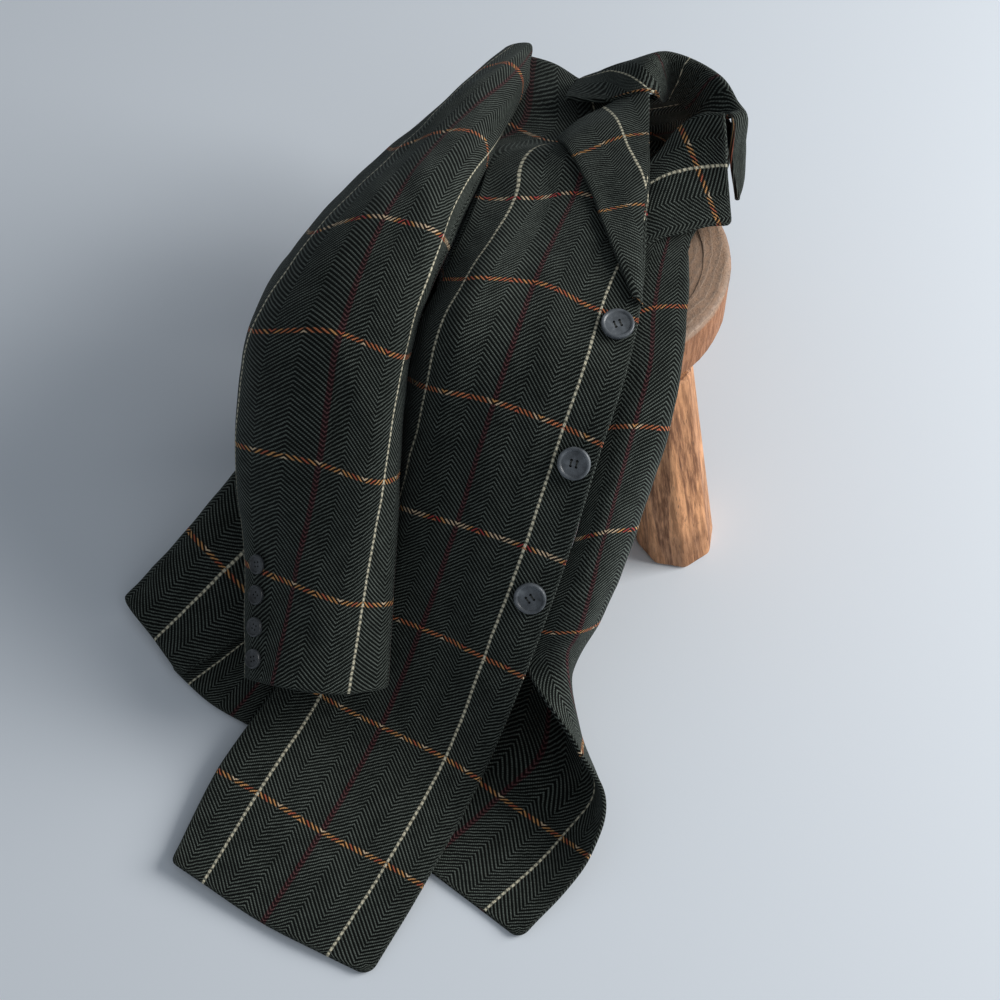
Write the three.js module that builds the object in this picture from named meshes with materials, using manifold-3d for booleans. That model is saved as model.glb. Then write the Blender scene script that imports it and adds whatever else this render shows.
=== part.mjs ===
// Long wool coat with a windowpane check, laid over a low round wooden stool.
// Millimetres, +Z up. The tables below are measured from the stool's axis at floor level; the last
// lines move the whole group so that its origin is the middle of its box, on the floor.
// Cloth is drawn by its middle surface: a row for each line across the coat, a column for each
// stripe or fold along it. "along" is the distance up the flat cloth from the hem.

import * as THREE from 'three';
import { mergeVertices } from 'three/addons/utils/BufferGeometryUtils.js';
import Module from 'manifold-3d';

const wasm = await Module();
wasm.setup();

const clothThickness = 2.6;
const seamGap = 0.35;
const ventGap = 3;
const checkLength = 98;
const hemBand = 82;

const seatRadius = 105;
const seatTop = 245;
const seatThickness = 52;
const legCount = 3;
const legHeading = -55;
const footRadius = 132;
const legTopRadius = 80;
const legFootWidth = 68;
const legTopWidth = 62;
const restGap = 0.3;
const buttonGap = 0.3;

const frontButton = { diameter: 25, thickness: 4.2, rimWidth: 3, hole: 2.2, holeSpacing: 4.4 };
const cuffButton = { diameter: 15.5, thickness: 3.4, rimWidth: 2, hole: 1.6, holeSpacing: 3.2 };

// Distance along the cloth of the check's cross line number n, counted from the hem.
const line = (n) => hemBand + checkLength * n;

const vec = (p) => new THREE.Vector3(p[0], p[1], p[2]);

// ---- Smooth curve through named sections ----

function tangentAt(knots, points, i) {
  const last = points.length - 1;
  if (last === 0) return new THREE.Vector3();
  if (i === 0) return points[1].clone().sub(points[0]).divideScalar(knots[1] - knots[0]);
  if (i === last) {
    return points[last].clone().sub(points[last - 1]).divideScalar(knots[last] - knots[last - 1]);
  }
  const before = knots[i] - knots[i - 1];
  const after = knots[i + 1] - knots[i];
  const slopeBefore = points[i].clone().sub(points[i - 1]).divideScalar(before);
  const slopeAfter = points[i + 1].clone().sub(points[i]).divideScalar(after);
  return slopeBefore.multiplyScalar(after).addScaledVector(slopeAfter, before).divideScalar(before + after);
}

function curvePoint(knots, points, span, fraction) {
  const width = knots[span + 1] - knots[span];
  const start = tangentAt(knots, points, span).multiplyScalar(width);
  const end = tangentAt(knots, points, span + 1).multiplyScalar(width);
  const f2 = fraction * fraction;
  const f3 = f2 * fraction;
  return points[span].clone().multiplyScalar(2 * f3 - 3 * f2 + 1)
    .addScaledVector(start, f3 - 2 * f2 + fraction)
    .addScaledVector(points[span + 1], 3 * f2 - 2 * f3)
    .addScaledVector(end, f3 - f2);
}

// A row's knots are the straight distances between its points. A closed row takes the points that
// follow its last one from its start, so that the curve has no corner there.
function rowPoint(panel, row, span, fraction) {
  const columns = panel.columns;
  const count = columns.length;
  const steps = panel.closed ? [-1, 0, 1, 2].map((step) => (span + step + count) % count) : columns.map((_, i) => i);
  const points = steps.map((i) => vec(row[columns[i]]));
  const knots = [0];
  for (let i = 1; i < points.length; i += 1) knots.push(knots[i - 1] + points[i].distanceTo(points[i - 1]));
  return curvePoint(knots, points, panel.closed ? 1 : span, fraction);
}

function samples(spans) {
  const list = [];
  spans.forEach((steps, span) => {
    for (let step = 0; step < steps; step += 1) list.push([span, step / steps]);
  });
  list.push([spans.length - 1, 1]);
  return list;
}

// The middle surface as rows of points: grid[along][across].
function clothGrid(panel) {
  const knots = panel.rows.map((row) => row.along);
  const across = samples(panel.acrossSteps);
  const along = samples(panel.alongSteps);
  return along.map(([rowSpan, rowFraction]) => across.map(([span, fraction]) => {
    const points = panel.rows.map((row) => rowPoint(panel, row, span, fraction));
    return curvePoint(knots, points, rowSpan, rowFraction);
  }));
}

// ---- Cloth wall: the middle surface moved out both ways by half the cloth's thickness ----

function gridNormals(grid, closed) {
  const rows = grid.length;
  const count = grid[0].length;
  return grid.map((row, i) => row.map((point, j) => {
    const up = grid[Math.min(i + 1, rows - 1)][j].clone().sub(grid[Math.max(i - 1, 0)][j]);
    const next = closed ? (j + 1) % count : Math.min(j + 1, count - 1);
    const previous = closed ? (j - 1 + count) % count : Math.max(j - 1, 0);
    const over = row[next].clone().sub(row[previous]);
    return over.cross(up).normalize();
  }));
}

function pullIn(grid, edges) {
  const moved = grid.map((row) => row.map((point) => point.clone()));
  const last = grid[0].length - 1;
  grid.forEach((row, i) => {
    if (edges.start) moved[i][0].add(row[1].clone().sub(row[0]).setLength(edges.start));
    if (edges.end) moved[i][last].add(row[last - 1].clone().sub(row[last]).setLength(edges.end));
  });
  const top = grid.length - 1;
  grid[0].forEach((point, j) => {
    if (edges.bottom) moved[0][j].add(grid[1][j].clone().sub(point).setLength(edges.bottom));
    if (edges.top) moved[top][j].add(grid[top - 1][j].clone().sub(grid[top][j]).setLength(edges.top));
  });
  return moved;
}

function wallGeometry(grid, normals, { closed = false, thickness = clothThickness } = {}) {
  const rows = grid.length;
  const count = grid[0].length;
  const positions = [];
  for (const side of [0.5, -0.5]) {
    grid.forEach((row, i) => row.forEach((point, j) => {
      const moved = point.clone().addScaledVector(normals[i][j], side * thickness);
      positions.push(moved.x, moved.y, moved.z);
    }));
  }
  const inner = rows * count;
  const at = (i, j) => i * count + (j % count);
  const triangles = [];
  const quad = (a, b, c, d) => triangles.push(a, b, c, a, c, d);
  const steps = closed ? count : count - 1;
  for (let i = 0; i < rows - 1; i += 1) {
    for (let j = 0; j < steps; j += 1) {
      quad(at(i, j), at(i, j + 1), at(i + 1, j + 1), at(i + 1, j));
      quad(inner + at(i, j), inner + at(i + 1, j), inner + at(i + 1, j + 1), inner + at(i, j + 1));
    }
  }
  for (let j = 0; j < steps; j += 1) {
    quad(at(0, j + 1), at(0, j), inner + at(0, j), inner + at(0, j + 1));
    const end = rows - 1;
    quad(at(end, j), at(end, j + 1), inner + at(end, j + 1), inner + at(end, j));
  }
  if (!closed) {
    const end = count - 1;
    for (let i = 0; i < rows - 1; i += 1) {
      quad(at(i, 0), at(i + 1, 0), inner + at(i + 1, 0), inner + at(i, 0));
      quad(at(i + 1, end), at(i, end), inner + at(i, end), inner + at(i + 1, end));
    }
  }
  const geometry = new THREE.BufferGeometry();
  geometry.setAttribute('position', new THREE.Float32BufferAttribute(positions, 3));
  geometry.setIndex(triangles);
  return geometry;
}

function clothWall(panel, edges = {}) {
  const grid = pullIn(clothGrid(panel), edges);
  return wallGeometry(grid, gridNormals(grid, false), { thickness: panel.thickness ?? clothThickness });
}

// ---- Solids joined or cut with manifold ----

function toSolid(geometry) {
  const bare = geometry.clone();
  bare.deleteAttribute('normal');
  bare.deleteAttribute('uv');
  const merged = mergeVertices(bare, 1e-4);
  return new wasm.Manifold(new wasm.Mesh({
    numProp: 3,
    vertProperties: new Float32Array(merged.attributes.position.array),
    triVerts: new Uint32Array(merged.index.array),
  }));
}

function fromSolid(solid) {
  const mesh = solid.getMesh();
  const geometry = new THREE.BufferGeometry();
  geometry.setAttribute('position', new THREE.BufferAttribute(new Float32Array(mesh.vertProperties), 3));
  geometry.setIndex(new THREE.BufferAttribute(new Uint32Array(mesh.triVerts), 1));
  return geometry;
}

// ---- Coat tables ----

const frontRight = {
  columns: ['edge', 'white', 'red', 'white2', 'turn'],
  acrossSteps: [1, 2, 2, 2],
  alongSteps: [2, 3, 3, 3, 3, 1, 2, 3, 2, 2, 2],
  rows: [
    { along: 0, edge: [-171, -491, 3], white: [-203, -476, 4], red: [-253, -451, 5],
      white2: [-300, -421, 8], turn: [-326, -404, 9] },
    { along: line(0), edge: [-132, -424, 9], white: [-161, -407, 11], red: [-211, -382, 14],
      white2: [-262, -351, 16], turn: [-296, -331, 14] },
    { along: line(1), edge: [-89, -339, 14], white: [-117, -322, 17], red: [-168, -296, 20],
      white2: [-217, -270, 22], turn: [-246, -250, 20] },
    { along: line(2), edge: [-55, -280, 76], white: [-86, -265, 80], red: [-135, -240, 80],
      white2: [-184, -212, 70], turn: [-200, -192, 48] },
    { along: line(3), edge: [-24, -221, 150], white: [-55, -210, 156], red: [-107, -192, 157],
      white2: [-151, -162, 136], turn: [-164, -138, 114] },
    { along: line(4), edge: [2, -162, 221], white: [-27, -149, 225], red: [-78, -130, 230],
      white2: [-129, -108, 218], turn: [-144, -84, 196] },
    { along: 520, edge: [17, -124, 246], white: [-12, -114, 251], red: [-64, -94, 254],
      white2: [-118, -80, 252], turn: [-136, -56, 226] },
    { along: line(5), edge: [29, -77, 258], white: [1, -68, 259], red: [-48, -43, 262],
      white2: [-99, -41, 262], turn: [-118, -24, 242] },
    { along: line(6), edge: [40, 26, 260], white: [12, 38, 258], red: [-15, 50, 255],
      white2: [-62, 43, 256], turn: [-92, 50, 251] },
    { along: 722, edge: [44, 74, 262], white: [24, 88, 260], red: [-2, 100, 256],
      white2: [-48, 102, 249], turn: [-81.5, 108, 234.5] },
    { along: line(7), edge: [45, 112, 256], white: [28, 122, 242], red: [8, 132, 226],
      white2: [-32, 135, 227], turn: [-75, 155, 213] },
    { along: line(7) + 72, edge: [49, 158, 246], white: [20, 194, 222], red: [-4, 222, 207],
      white2: [-26, 250, 199], turn: [-60, 281, 181] },
  ],
};

const frontLeft = {
  columns: ['edge', 'near', 'fold', 'under'],
  acrossSteps: [2, 2, 3],
  alongSteps: [3, 2, 2, 2, 2, 3, 3, 2, 2, 2, 2, 1, 2, 2],
  rows: [
    { along: 0, edge: [-59, -463, 2.2], near: [-88, -440, 2.2], fold: [-114, -420, 2.2],
      under: [-160, -384, 2.2] },
    { along: line(0), edge: [-6, -405, 23], near: [-28, -383, 6.5], fold: [-54, -363, 2.6],
      under: [-103, -327, 2.3] },
    { along: 130, edge: [5, -370, 48], near: [-1, -350, 18], fold: [-22, -330, 5],
      under: [-74, -293, 3] },
    { along: 185, edge: [-16, -335, 66], near: [-13, -309, 40], fold: [-19, -284, 14],
      under: [-58, -250, 6] },
    { along: 240, edge: [-54, -271, 76], near: [-23, -266, 84], fold: [-16, -262, 66],
      under: [-40, -226, 32] },
    { along: line(2), edge: [-52, -251, 97], near: [-14, -255, 104], fold: [2, -240, 92],
      under: [-20, -206, 62] },
    { along: line(3), edge: [-18, -206, 158], near: [5, -205, 168], fold: [30, -190, 152],
      under: [12, -160, 126] },
    { along: line(4), edge: [-2, -146, 218], near: [25, -148, 225], fold: [51, -142, 214],
      under: [36, -122, 196] },
    { along: 525, edge: [8, -110, 245], near: [37, -108, 250], fold: [60, -104, 247.4],
      under: [44, -109, 246.6] },
    { along: line(5), edge: [16, -70, 250], near: [42, -60, 252], fold: [66, -58, 251.6],
      under: [40, -44, 247.6] },
    { along: 640, edge: [38, 12, 250], near: [56, 8, 251.8], fold: [74, 10, 251.4],
      under: [58, 28, 247.2] },
    { along: 690, edge: [50, 86, 255], near: [72, 58, 256], fold: [96, 46, 254],
      under: [92, 74, 247.6] },
    { along: 730, edge: [72, 104, 266], near: [88, 88, 268], fold: [99, 80, 268],
      under: [108, 104, 240] },
    { along: 770, edge: [103, 107, 277], near: [107, 114, 268], fold: [113, 122, 250],
      under: [116, 132, 215] },
    { along: line(7) + 72, edge: [96, 152, 222], near: [106, 158, 204], fold: [114, 158, 180],
      under: [118, 156, 150] },
  ],
};

const backRight = {
  columns: ['side', 'mid', 'centre'],
  acrossSteps: [2, 2],
  alongSteps: [2, 3, 3, 3, 3, 3, 3, 3, 2],
  rows: [
    { along: 0, side: [-268, -292, 5], mid: [-308, -268, 4], centre: [-344, -234, 3] },
    { along: line(0), side: [-230, -224, 12], mid: [-252, -212, 20], centre: [-272, -199, 29] },
    { along: line(1), side: [-216, -214, 22], mid: [-207, -188, 40], centre: [-194, -161, 56] },
    { along: line(2), side: [-199, -190, 46], mid: [-176, -158, 58], centre: [-151, -126, 84] },
    { along: line(3), side: [-163, -136, 112], mid: [-146, -108, 110], centre: [-129, -81, 119] },
    { along: line(4), side: [-143, -82, 193], mid: [-134, -52, 178], centre: [-125, -21, 163] },
    { along: line(5), side: [-117, -22, 239], mid: [-116, 22, 206], centre: [-110, 59, 182] },
    { along: line(6), side: [-92, 55, 247], mid: [-98, 98, 202], centre: [-78, 129, 180] },
    { along: line(7), side: [-73, 182, 190], mid: [-48, 200, 176], centre: [-4, 213, 166] },
    { along: line(7) + 72, side: [-59, 284, 173], mid: [13, 205, 212], centre: [62, 190, 222] },
  ],
};

const backLeft = {
  columns: ['centre', 'white', 'fold', 'under', 'side'],
  acrossSteps: [1, 2, 3, 2],
  alongSteps: [2, 3, 3, 3, 3, 3, 3, 3, 2],
  rows: [
    { along: 0, centre: [-341, -236, 9], white: [-357, -214, 9], fold: [-384, -175, 12],
      under: [-345, -180, 3], side: [-300, -226, 3] },
    { along: line(0), centre: [-268, -198, 36], white: [-298, -168, 46], fold: [-330, -131, 50],
      under: [-300, -130, 18], side: [-250, -176, 5] },
    { along: line(1), centre: [-192, -158, 61], white: [-228, -118, 88], fold: [-264, -78, 106],
      under: [-244, -70, 60], side: [-200, -120, 20] },
    { along: line(2), centre: [-150, -124, 93], white: [-172, -92, 118], fold: [-212, -38, 152],
      under: [-192, -36, 104], side: [-150, -76, 56] },
    { along: line(3), centre: [-128, -79, 127], white: [-146, -52, 146], fold: [-176, 4, 178],
      under: [-156, 4, 132], side: [-138, -42, 98] },
    { along: line(4), centre: [-124, -19, 169], white: [-134, 6, 178], fold: [-154, 58, 190],
      under: [-138, 54, 146], side: [-135, 14, 138] },
    { along: line(5), centre: [-110, 61, 189], white: [-114, 82, 192], fold: [-120, 124, 194],
      under: [-92, 116, 158], side: [-70, 104, 148] },
    { along: line(6), centre: [-78, 131, 187], white: [-76, 148, 190], fold: [-60, 176, 188],
      under: [-20, 160, 158], side: [20, 140, 148] },
    { along: line(7), centre: [-4, 214, 172], white: [18, 218, 168], fold: [56, 212, 156],
      under: [84, 192, 152], side: [100, 166, 150] },
    { along: line(7) + 72, centre: [64, 184, 228], white: [80, 176, 228], fold: [92, 159, 226],
      under: [97, 151, 206], side: [105, 153, 182] },
  ],
};

const sleeveRight = {
  closed: true,
  columns: ['front', 'whiteFront', 'red', 'whiteBack', 'back', 'under'],
  acrossSteps: [2, 2, 3, 3, 2, 3],
  alongSteps: [3, 3, 3, 3, 3, 3, 2],
  rows: [
    { along: 0, front: [-163, -281, 60], whiteFront: [-191, -291, 69], red: [-250, -285, 71],
      whiteBack: [-272, -270, 56], back: [-245, -258, 42], under: [-195, -258, 42] },
    { along: 75, front: [-157, -221, 106], whiteFront: [-179, -239, 118], red: [-231, -223, 120],
      whiteBack: [-274, -186, 94], back: [-252, -170, 74], under: [-192, -184, 90] },
    { along: 173, front: [-151, -150, 172], whiteFront: [-162, -172, 186], red: [-209, -159, 190],
      whiteBack: [-282, -104, 140], back: [-268, -80, 116], under: [-194, -104, 146] },
    { along: 271, front: [-142, -82, 226], whiteFront: [-146, -96, 240], red: [-192, -81, 247],
      whiteBack: [-270, -36, 196], back: [-262, 0, 170], under: [-190, -22, 196] },
    { along: 369, front: [-118, -8, 252], whiteFront: [-122, -10, 264], red: [-162, 12, 272],
      whiteBack: [-222, 28, 234], back: [-222, 62, 206], under: [-164, 50, 218] },
    { along: 467, front: [-94, 65, 250], whiteFront: [-97, 78, 262], red: [-122, 110, 257],
      whiteBack: [-160, 120, 230], back: [-164, 142, 208], under: [-136, 132, 214] },
    { along: 565, front: [-66, 160, 227], whiteFront: [-60, 184, 229], red: [-70, 217, 227],
      whiteBack: [-98, 224, 209], back: [-110, 214, 188], under: [-98, 188, 203] },
    { along: 605, front: [-53, 206, 214], whiteFront: [-48, 242, 209], red: [-49, 275, 198],
      whiteBack: [-68, 281, 187], back: [-82, 260, 178], under: [-75, 222, 194] },
  ],
};

const sleeveLeft = {
  closed: true,
  columns: ['front', 'red', 'back', 'under'],
  acrossSteps: [3, 3, 3, 3],
  alongSteps: [2, 3, 3, 3, 3],
  rows: [
    { along: 0, front: [-152, 190, 14], red: [-148, 240, 30], back: [-140, 292, 16], under: [-148, 242, 4] },
    { along: 100, front: [-52, 178, 18], red: [-50, 236, 40], back: [-46, 296, 18], under: [-50, 238, 4] },
    { along: 220, front: [54, 172, 26], red: [50, 232, 54], back: [58, 292, 24], under: [58, 236, 5] },
    { along: 320, front: [102, 164, 60], red: [78, 208, 92], back: [96, 260, 62], under: [112, 214, 26] },
    { along: 420, front: [112, 146, 104], red: [80, 166, 122], back: [94, 218, 110], under: [122, 190, 92] },
    { along: 480, front: [110, 148, 143.4], red: [82, 160, 144.2], back: [86, 192, 145], under: [116, 176, 140.5] },
  ],
};

const collar = {
  columns: ['outer', 'fall', 'fold', 'stand', 'neck'],
  acrossSteps: [2, 2, 3, 1],
  alongSteps: [2, 2, 2, 2, 2, 2, 2],
  rows: [
    { along: 0, outer: [-20, 181, 226], fall: [12, 158.5, 247], fold: [45, 151, 265],
      stand: [50, 151, 264], neck: [52, 152, 262] },
    { along: 50, outer: [-6, 216, 214], fall: [20, 199, 242], fold: [50, 172, 269],
      stand: [60, 168, 252], neck: [60, 168, 236] },
    { along: 100, outer: [20, 207, 230], fall: [42, 197, 254], fold: [58, 189, 269],
      stand: [66, 180, 250], neck: [66, 178, 230] },
    { along: 160, outer: [86, 203, 220], fall: [84, 194, 246], fold: [80, 183, 269],
      stand: [80, 172, 250], neck: [78, 170, 230] },
    { along: 220, outer: [118, 172, 224], fall: [111, 168, 248], fold: [101, 161, 273],
      stand: [93, 153, 252], neck: [89, 151, 232] },
    { along: 280, outer: [124, 134, 226], fall: [120, 132, 254], fold: [112, 129, 279],
      stand: [102, 126, 265], neck: [95, 127, 254] },
    { along: 320, outer: [123, 94, 224], fall: [121, 101, 254], fold: [116, 110, 283],
      stand: [109, 112, 281], neck: [103.5, 109.6, 278.4] },
    { along: 350, outer: [118, 78, 217], fall: [109.5, 90, 252], fold: [107.5, 102, 284],
      stand: [107, 107, 283], neck: [105, 109, 280] },
  ],
};

const lapelRight = {
  columns: ['roll', 'near', 'notch', 'far', 'outer'],
  acrossSteps: [1, 1, 1, 1],
  alongSteps: [2, 2, 2, 2, 1, 1],
  rows: [
    { along: 0, roll: [32, -66, 263], near: [31, -65, 264], notch: [29, -63, 265], far: [27, -61, 265],
      outer: [25, -60, 264] },
    { along: 44, roll: [34, -20, 264], near: [30, -21, 266], notch: [24, -22, 267], far: [19, -23, 267],
      outer: [14, -24, 266] },
    { along: 82, roll: [37, 20, 264], near: [29, 19, 266], notch: [21, 18, 266], far: [12, 16, 265],
      outer: [4, 14, 265] },
    { along: 118, roll: [41, 55, 264], near: [30, 53, 266], notch: [19, 50, 265], far: [8, 48, 262],
      outer: [-3, 45, 262] },
    { along: 154, roll: [43, 90, 266], near: [29, 90, 266], notch: [15, 88, 265], far: [0, 83, 263],
      outer: [-15, 79, 261] },
    { along: 184, roll: [45, 118, 266], near: [30, 119, 266], notch: [13, 118, 264], far: [-6, 110, 261],
      outer: [-23, 97, 261] },
    { along: 212, roll: [46, 146, 262], near: [30, 152, 252], notch: [11, 153, 244], far: [-9, 140, 244],
      outer: [-29, 118, 244.5] },
  ],
};

const lapelLeft = {
  columns: ['outer', 'far', 'white', 'near', 'roll'],
  acrossSteps: [2, 2, 1, 2],
  alongSteps: [1, 2, 2, 2],
  rows: [
    { along: 0, outer: [36, -2, 255], far: [36, 28, 255], white: [37, 56, 255.2], near: [38, 66, 255.4],
      roll: [39, 76, 255.6] },
    { along: 16, outer: [50, 4, 257.5], far: [50, 34, 258.5], white: [53, 63, 260], near: [53, 76, 261],
      roll: [53, 92, 261] },
    { along: 36, outer: [68, 9, 258], far: [69, 38, 261], white: [70, 67, 264], near: [70, 86, 268],
      roll: [68, 108, 270] },
    { along: 54, outer: [86, 15, 258], far: [86, 40, 263], white: [87, 67, 268], near: [86, 90, 276],
      roll: [84, 110, 283] },
    { along: 74, outer: [105, 17, 257], far: [104, 40, 265], white: [103, 64, 273], near: [103, 84, 282],
      roll: [102, 104, 289] },
  ],
};

// The coat's hidden folded width, pressed together between the right front and the stool.
const foldedLayers = {
  thickness: 7,
  columns: ['right', 'middle', 'left'],
  acrossSteps: [2, 2],
  alongSteps: [2, 2, 3, 3],
  rows: [
    { along: 60, right: [-146, -352, 4.5], middle: [-200, -316, 4.5], left: [-250, -276, 4.5] },
    { along: line(1), right: [-86, -274, 23], middle: [-138, -242, 28], left: [-186, -208, 27] },
    { along: line(2), right: [-62, -238, 75], middle: [-116, -212, 73.5], left: [-160, -182, 64] },
    { along: line(3), right: [-28, -182, 151], middle: [-76, -164, 151.8], left: [-126, -140, 134] },
    { along: line(4), right: [-6, -118, 214], middle: [-50, -112, 212], left: [-104, -90, 200] },
  ],
};

// ---- Stool ----

function seatGeometry() {
  const edgeRound = 6;
  const profile = [new THREE.Vector2(0, 0)];
  const corner = (radius, height, from) => {
    for (let step = 0; step <= 3; step += 1) {
      const angle = from + (step / 3) * (Math.PI / 2);
      profile.push(new THREE.Vector2(radius + edgeRound * Math.cos(angle), height + edgeRound * Math.sin(angle)));
    }
  };
  corner(seatRadius - edgeRound, edgeRound, -Math.PI / 2);
  corner(seatRadius - edgeRound, seatThickness - edgeRound, 0);
  profile.push(new THREE.Vector2(0, seatThickness));
  const seat = new THREE.LatheGeometry(profile, 48);
  seat.rotateX(Math.PI / 2);
  seat.translate(0, 0, seatTop - seatThickness);
  return fromSolid(toSolid(seat));
}

// A hewn leg: an eight-sided post, wide at the foot, narrow under the seat, splayed outwards.
function legGeometry(index) {
  const sides = 8;
  const heading = THREE.MathUtils.degToRad(legHeading + (360 / legCount) * index);
  const top = seatTop - seatThickness - restGap;
  const sections = [
    { height: 0, width: legFootWidth - 8 },
    { height: 10, width: legFootWidth },
    { height: 70, width: legFootWidth - 3 },
    { height: top, width: legTopWidth },
  ];
  const positions = [];
  sections.forEach(({ height, width }) => {
    const out = footRadius + (legTopRadius - footRadius) * (height / top);
    for (let side = 0; side < sides; side += 1) {
      const angle = heading + ((side + 0.5) / sides) * Math.PI * 2;
      positions.push(
        out * Math.cos(heading) + (width / 2) * Math.cos(angle),
        out * Math.sin(heading) + (width / 2) * Math.sin(angle),
        height,
      );
    }
  });
  const triangles = [];
  for (let level = 0; level < sections.length - 1; level += 1) {
    for (let side = 0; side < sides; side += 1) {
      const a = level * sides + side;
      const b = level * sides + ((side + 1) % sides);
      triangles.push(a, b, b + sides, a, b + sides, a + sides);
    }
  }
  const lid = (sections.length - 1) * sides;
  for (let side = 1; side < sides - 1; side += 1) {
    triangles.push(0, side + 1, side);
    triangles.push(lid, lid + side, lid + side + 1);
  }
  const geometry = new THREE.BufferGeometry();
  geometry.setAttribute('position', new THREE.Float32BufferAttribute(positions, 3));
  geometry.setIndex(triangles);
  return geometry;
}

// ---- Assembly ----

const wool = { color: 0x25302b, roughness: 0.95, metalness: 0 };
const oak = { color: 0x9a7350, roughness: 0.6, metalness: 0 };
const horn = { color: 0x5c6670, roughness: 0.35, metalness: 0 };

const coat = new THREE.Group();

function add(name, geometry, finish) {
  const mesh = new THREE.Mesh(geometry, new THREE.MeshStandardMaterial(finish));
  mesh.name = name;
  coat.add(mesh);
  return mesh;
}

// What is left of a wall where it stays a seam's gap clear of another panel, as its largest piece.
function cutClear(geometry, panel, edges) {
  const swept = clothWall({ ...panel, thickness: clothThickness + 2 * seamGap }, edges);
  const solid = toSolid(geometry).subtract(toSolid(swept));
  const pieces = solid.subtract(toSolid(clothWall(panel, edges))).decompose();
  pieces.sort((a, b) => b.volume() - a.volume());
  return fromSolid(pieces[0]);
}

// A two-piece sleeve: the upper piece runs from the first column to column number "seam".
function addSleeve(name, panel, seam) {
  const grid = clothGrid(panel);
  const ring = grid.map((row) => row.slice(0, -1));
  const normals = gridNormals(ring, true).map((row) => [...row, row[0]]);
  const split = panel.acrossSteps.slice(0, seam).reduce((sum, steps) => sum + steps, 0);
  const edges = { start: seamGap, end: seamGap };
  for (const [piece, from, to] of [['upper', 0, split], ['under', split, grid[0].length - 1]]) {
    const cut = (rows) => rows.map((row) => row.slice(from, to + 1));
    add(`${name}_${piece}`, wallGeometry(pullIn(cut(grid), edges), cut(normals)), wool);
  }
}

add('stool_seat', seatGeometry(), oak);
for (let index = 0; index < legCount; index += 1) {
  add(`stool_leg_${index + 1}`, legGeometry(index), oak);
}
add('front_right', clothWall(frontRight), wool);
add('front_left', clothWall(frontLeft), wool);
add('back_right', cutClear(clothWall(backRight, { end: ventGap }), backLeft, { start: ventGap }), wool);
add('back_left', clothWall(backLeft, { start: ventGap }), wool);
add('folded_layers', clothWall(foldedLayers), wool);
addSleeve('sleeve_right', sleeveRight, 4);
addSleeve('sleeve_left', sleeveLeft, 2);
add('collar', clothWall(collar), wool);
add('lapel_right', clothWall(lapelRight), wool);
add('lapel_left', clothWall(lapelLeft), wool);

// A button: a disc with a raised rim and four holes, its underside at z = 0.
function buttonGeometry(sizes) {
  const radius = sizes.diameter / 2;
  const thickness = sizes.thickness;
  const inner = radius - sizes.rimWidth;
  const profile = [[0, 0], [radius - 1, 0], [radius, 1], [radius, thickness - 1.2], [radius - 1, thickness],
    [inner + 0.8, thickness], [inner, thickness - 1.2], [0, thickness - 1.2]];
  const disc = new THREE.LatheGeometry(profile.map(([x, y]) => new THREE.Vector2(x, y)), 28);
  disc.rotateX(Math.PI / 2);
  let solid = toSolid(disc);
  for (let index = 0; index < 4; index += 1) {
    const angle = (index + 0.5) * (Math.PI / 2);
    const drill = new THREE.CylinderGeometry(sizes.hole / 2, sizes.hole / 2, 3 * thickness, 10);
    drill.rotateX(Math.PI / 2);
    const reach = sizes.holeSpacing / Math.SQRT2;
    drill.translate(reach * Math.cos(angle), reach * Math.sin(angle), 0);
    solid = solid.subtract(toSolid(drill));
  }
  return fromSolid(solid);
}

// Point and outward direction of a panel's outer face: spans count columns, then rows.
function panelSpot(panel, column, row) {
  const knots = panel.rows.map((item) => item.along);
  const at = (across, along) => {
    const rowSpan = Math.min(Math.floor(along), knots.length - 2);
    const span = Math.floor(across);
    const points = panel.rows.map((item) => rowPoint(panel, item, span, across - span));
    return curvePoint(knots, points, rowSpan, along - rowSpan);
  };
  const step = 0.05;
  const point = at(column, row);
  const over = at(column + step, row).sub(at(column - step, row));
  const up = at(column, row + step).sub(at(column, row - step));
  return { point, out: up.cross(over).normalize() };
}

// The button is lifted off the cloth in small steps until the two no longer meet.
function addButton(name, panel, clothName, column, row, sizes) {
  const cloth = toSolid(coat.getObjectByName(clothName).geometry);
  const { point, out } = panelSpot(panel, column, row);
  const turn = new THREE.Quaternion().setFromUnitVectors(new THREE.Vector3(0, 0, 1), out);
  let lift = clothThickness / 2;
  let geometry;
  do {
    lift += 0.1;
    const place = point.clone().addScaledVector(out, lift);
    geometry = buttonGeometry(sizes).applyQuaternion(turn).translate(place.x, place.y, place.z);
  } while (toSolid(geometry).intersect(cloth).volume() > 0);
  add(name, geometry.translate(out.x * buttonGap, out.y * buttonGap, out.z * buttonGap), horn);
}

// The right front's three buttons, and the four on each cuff, counted in rows of their panels.
[6.83, 4.78, 3.63].forEach((row, index) => {
  addButton(`button_front_${index + 1}`, frontRight, 'front_right', 0.5, row, frontButton);
});
[0.2, 0.48, 0.77, 1.05].forEach((row, index) => {
  addButton(`button_cuff_right_${index + 1}`, sleeveRight, 'sleeve_right_upper', 2.5, row, cuffButton);
  addButton(`button_cuff_left_${index + 1}`, sleeveLeft, 'sleeve_left_upper', 1.5, row, cuffButton);
});

// The origin is the middle of the whole box, on the floor.
const box = new THREE.Box3().setFromObject(coat, true);
coat.children.forEach((mesh) => {
  mesh.position.x -= (box.min.x + box.max.x) / 2;
  mesh.position.y -= (box.min.y + box.max.y) / 2;
  mesh.position.z -= box.min.z;
});

export default coat;
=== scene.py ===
# Long wool coat with a windowpane check, lying over a low round stool
import bpy
import math
import numpy as np
from mathutils import Matrix, Vector


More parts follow.
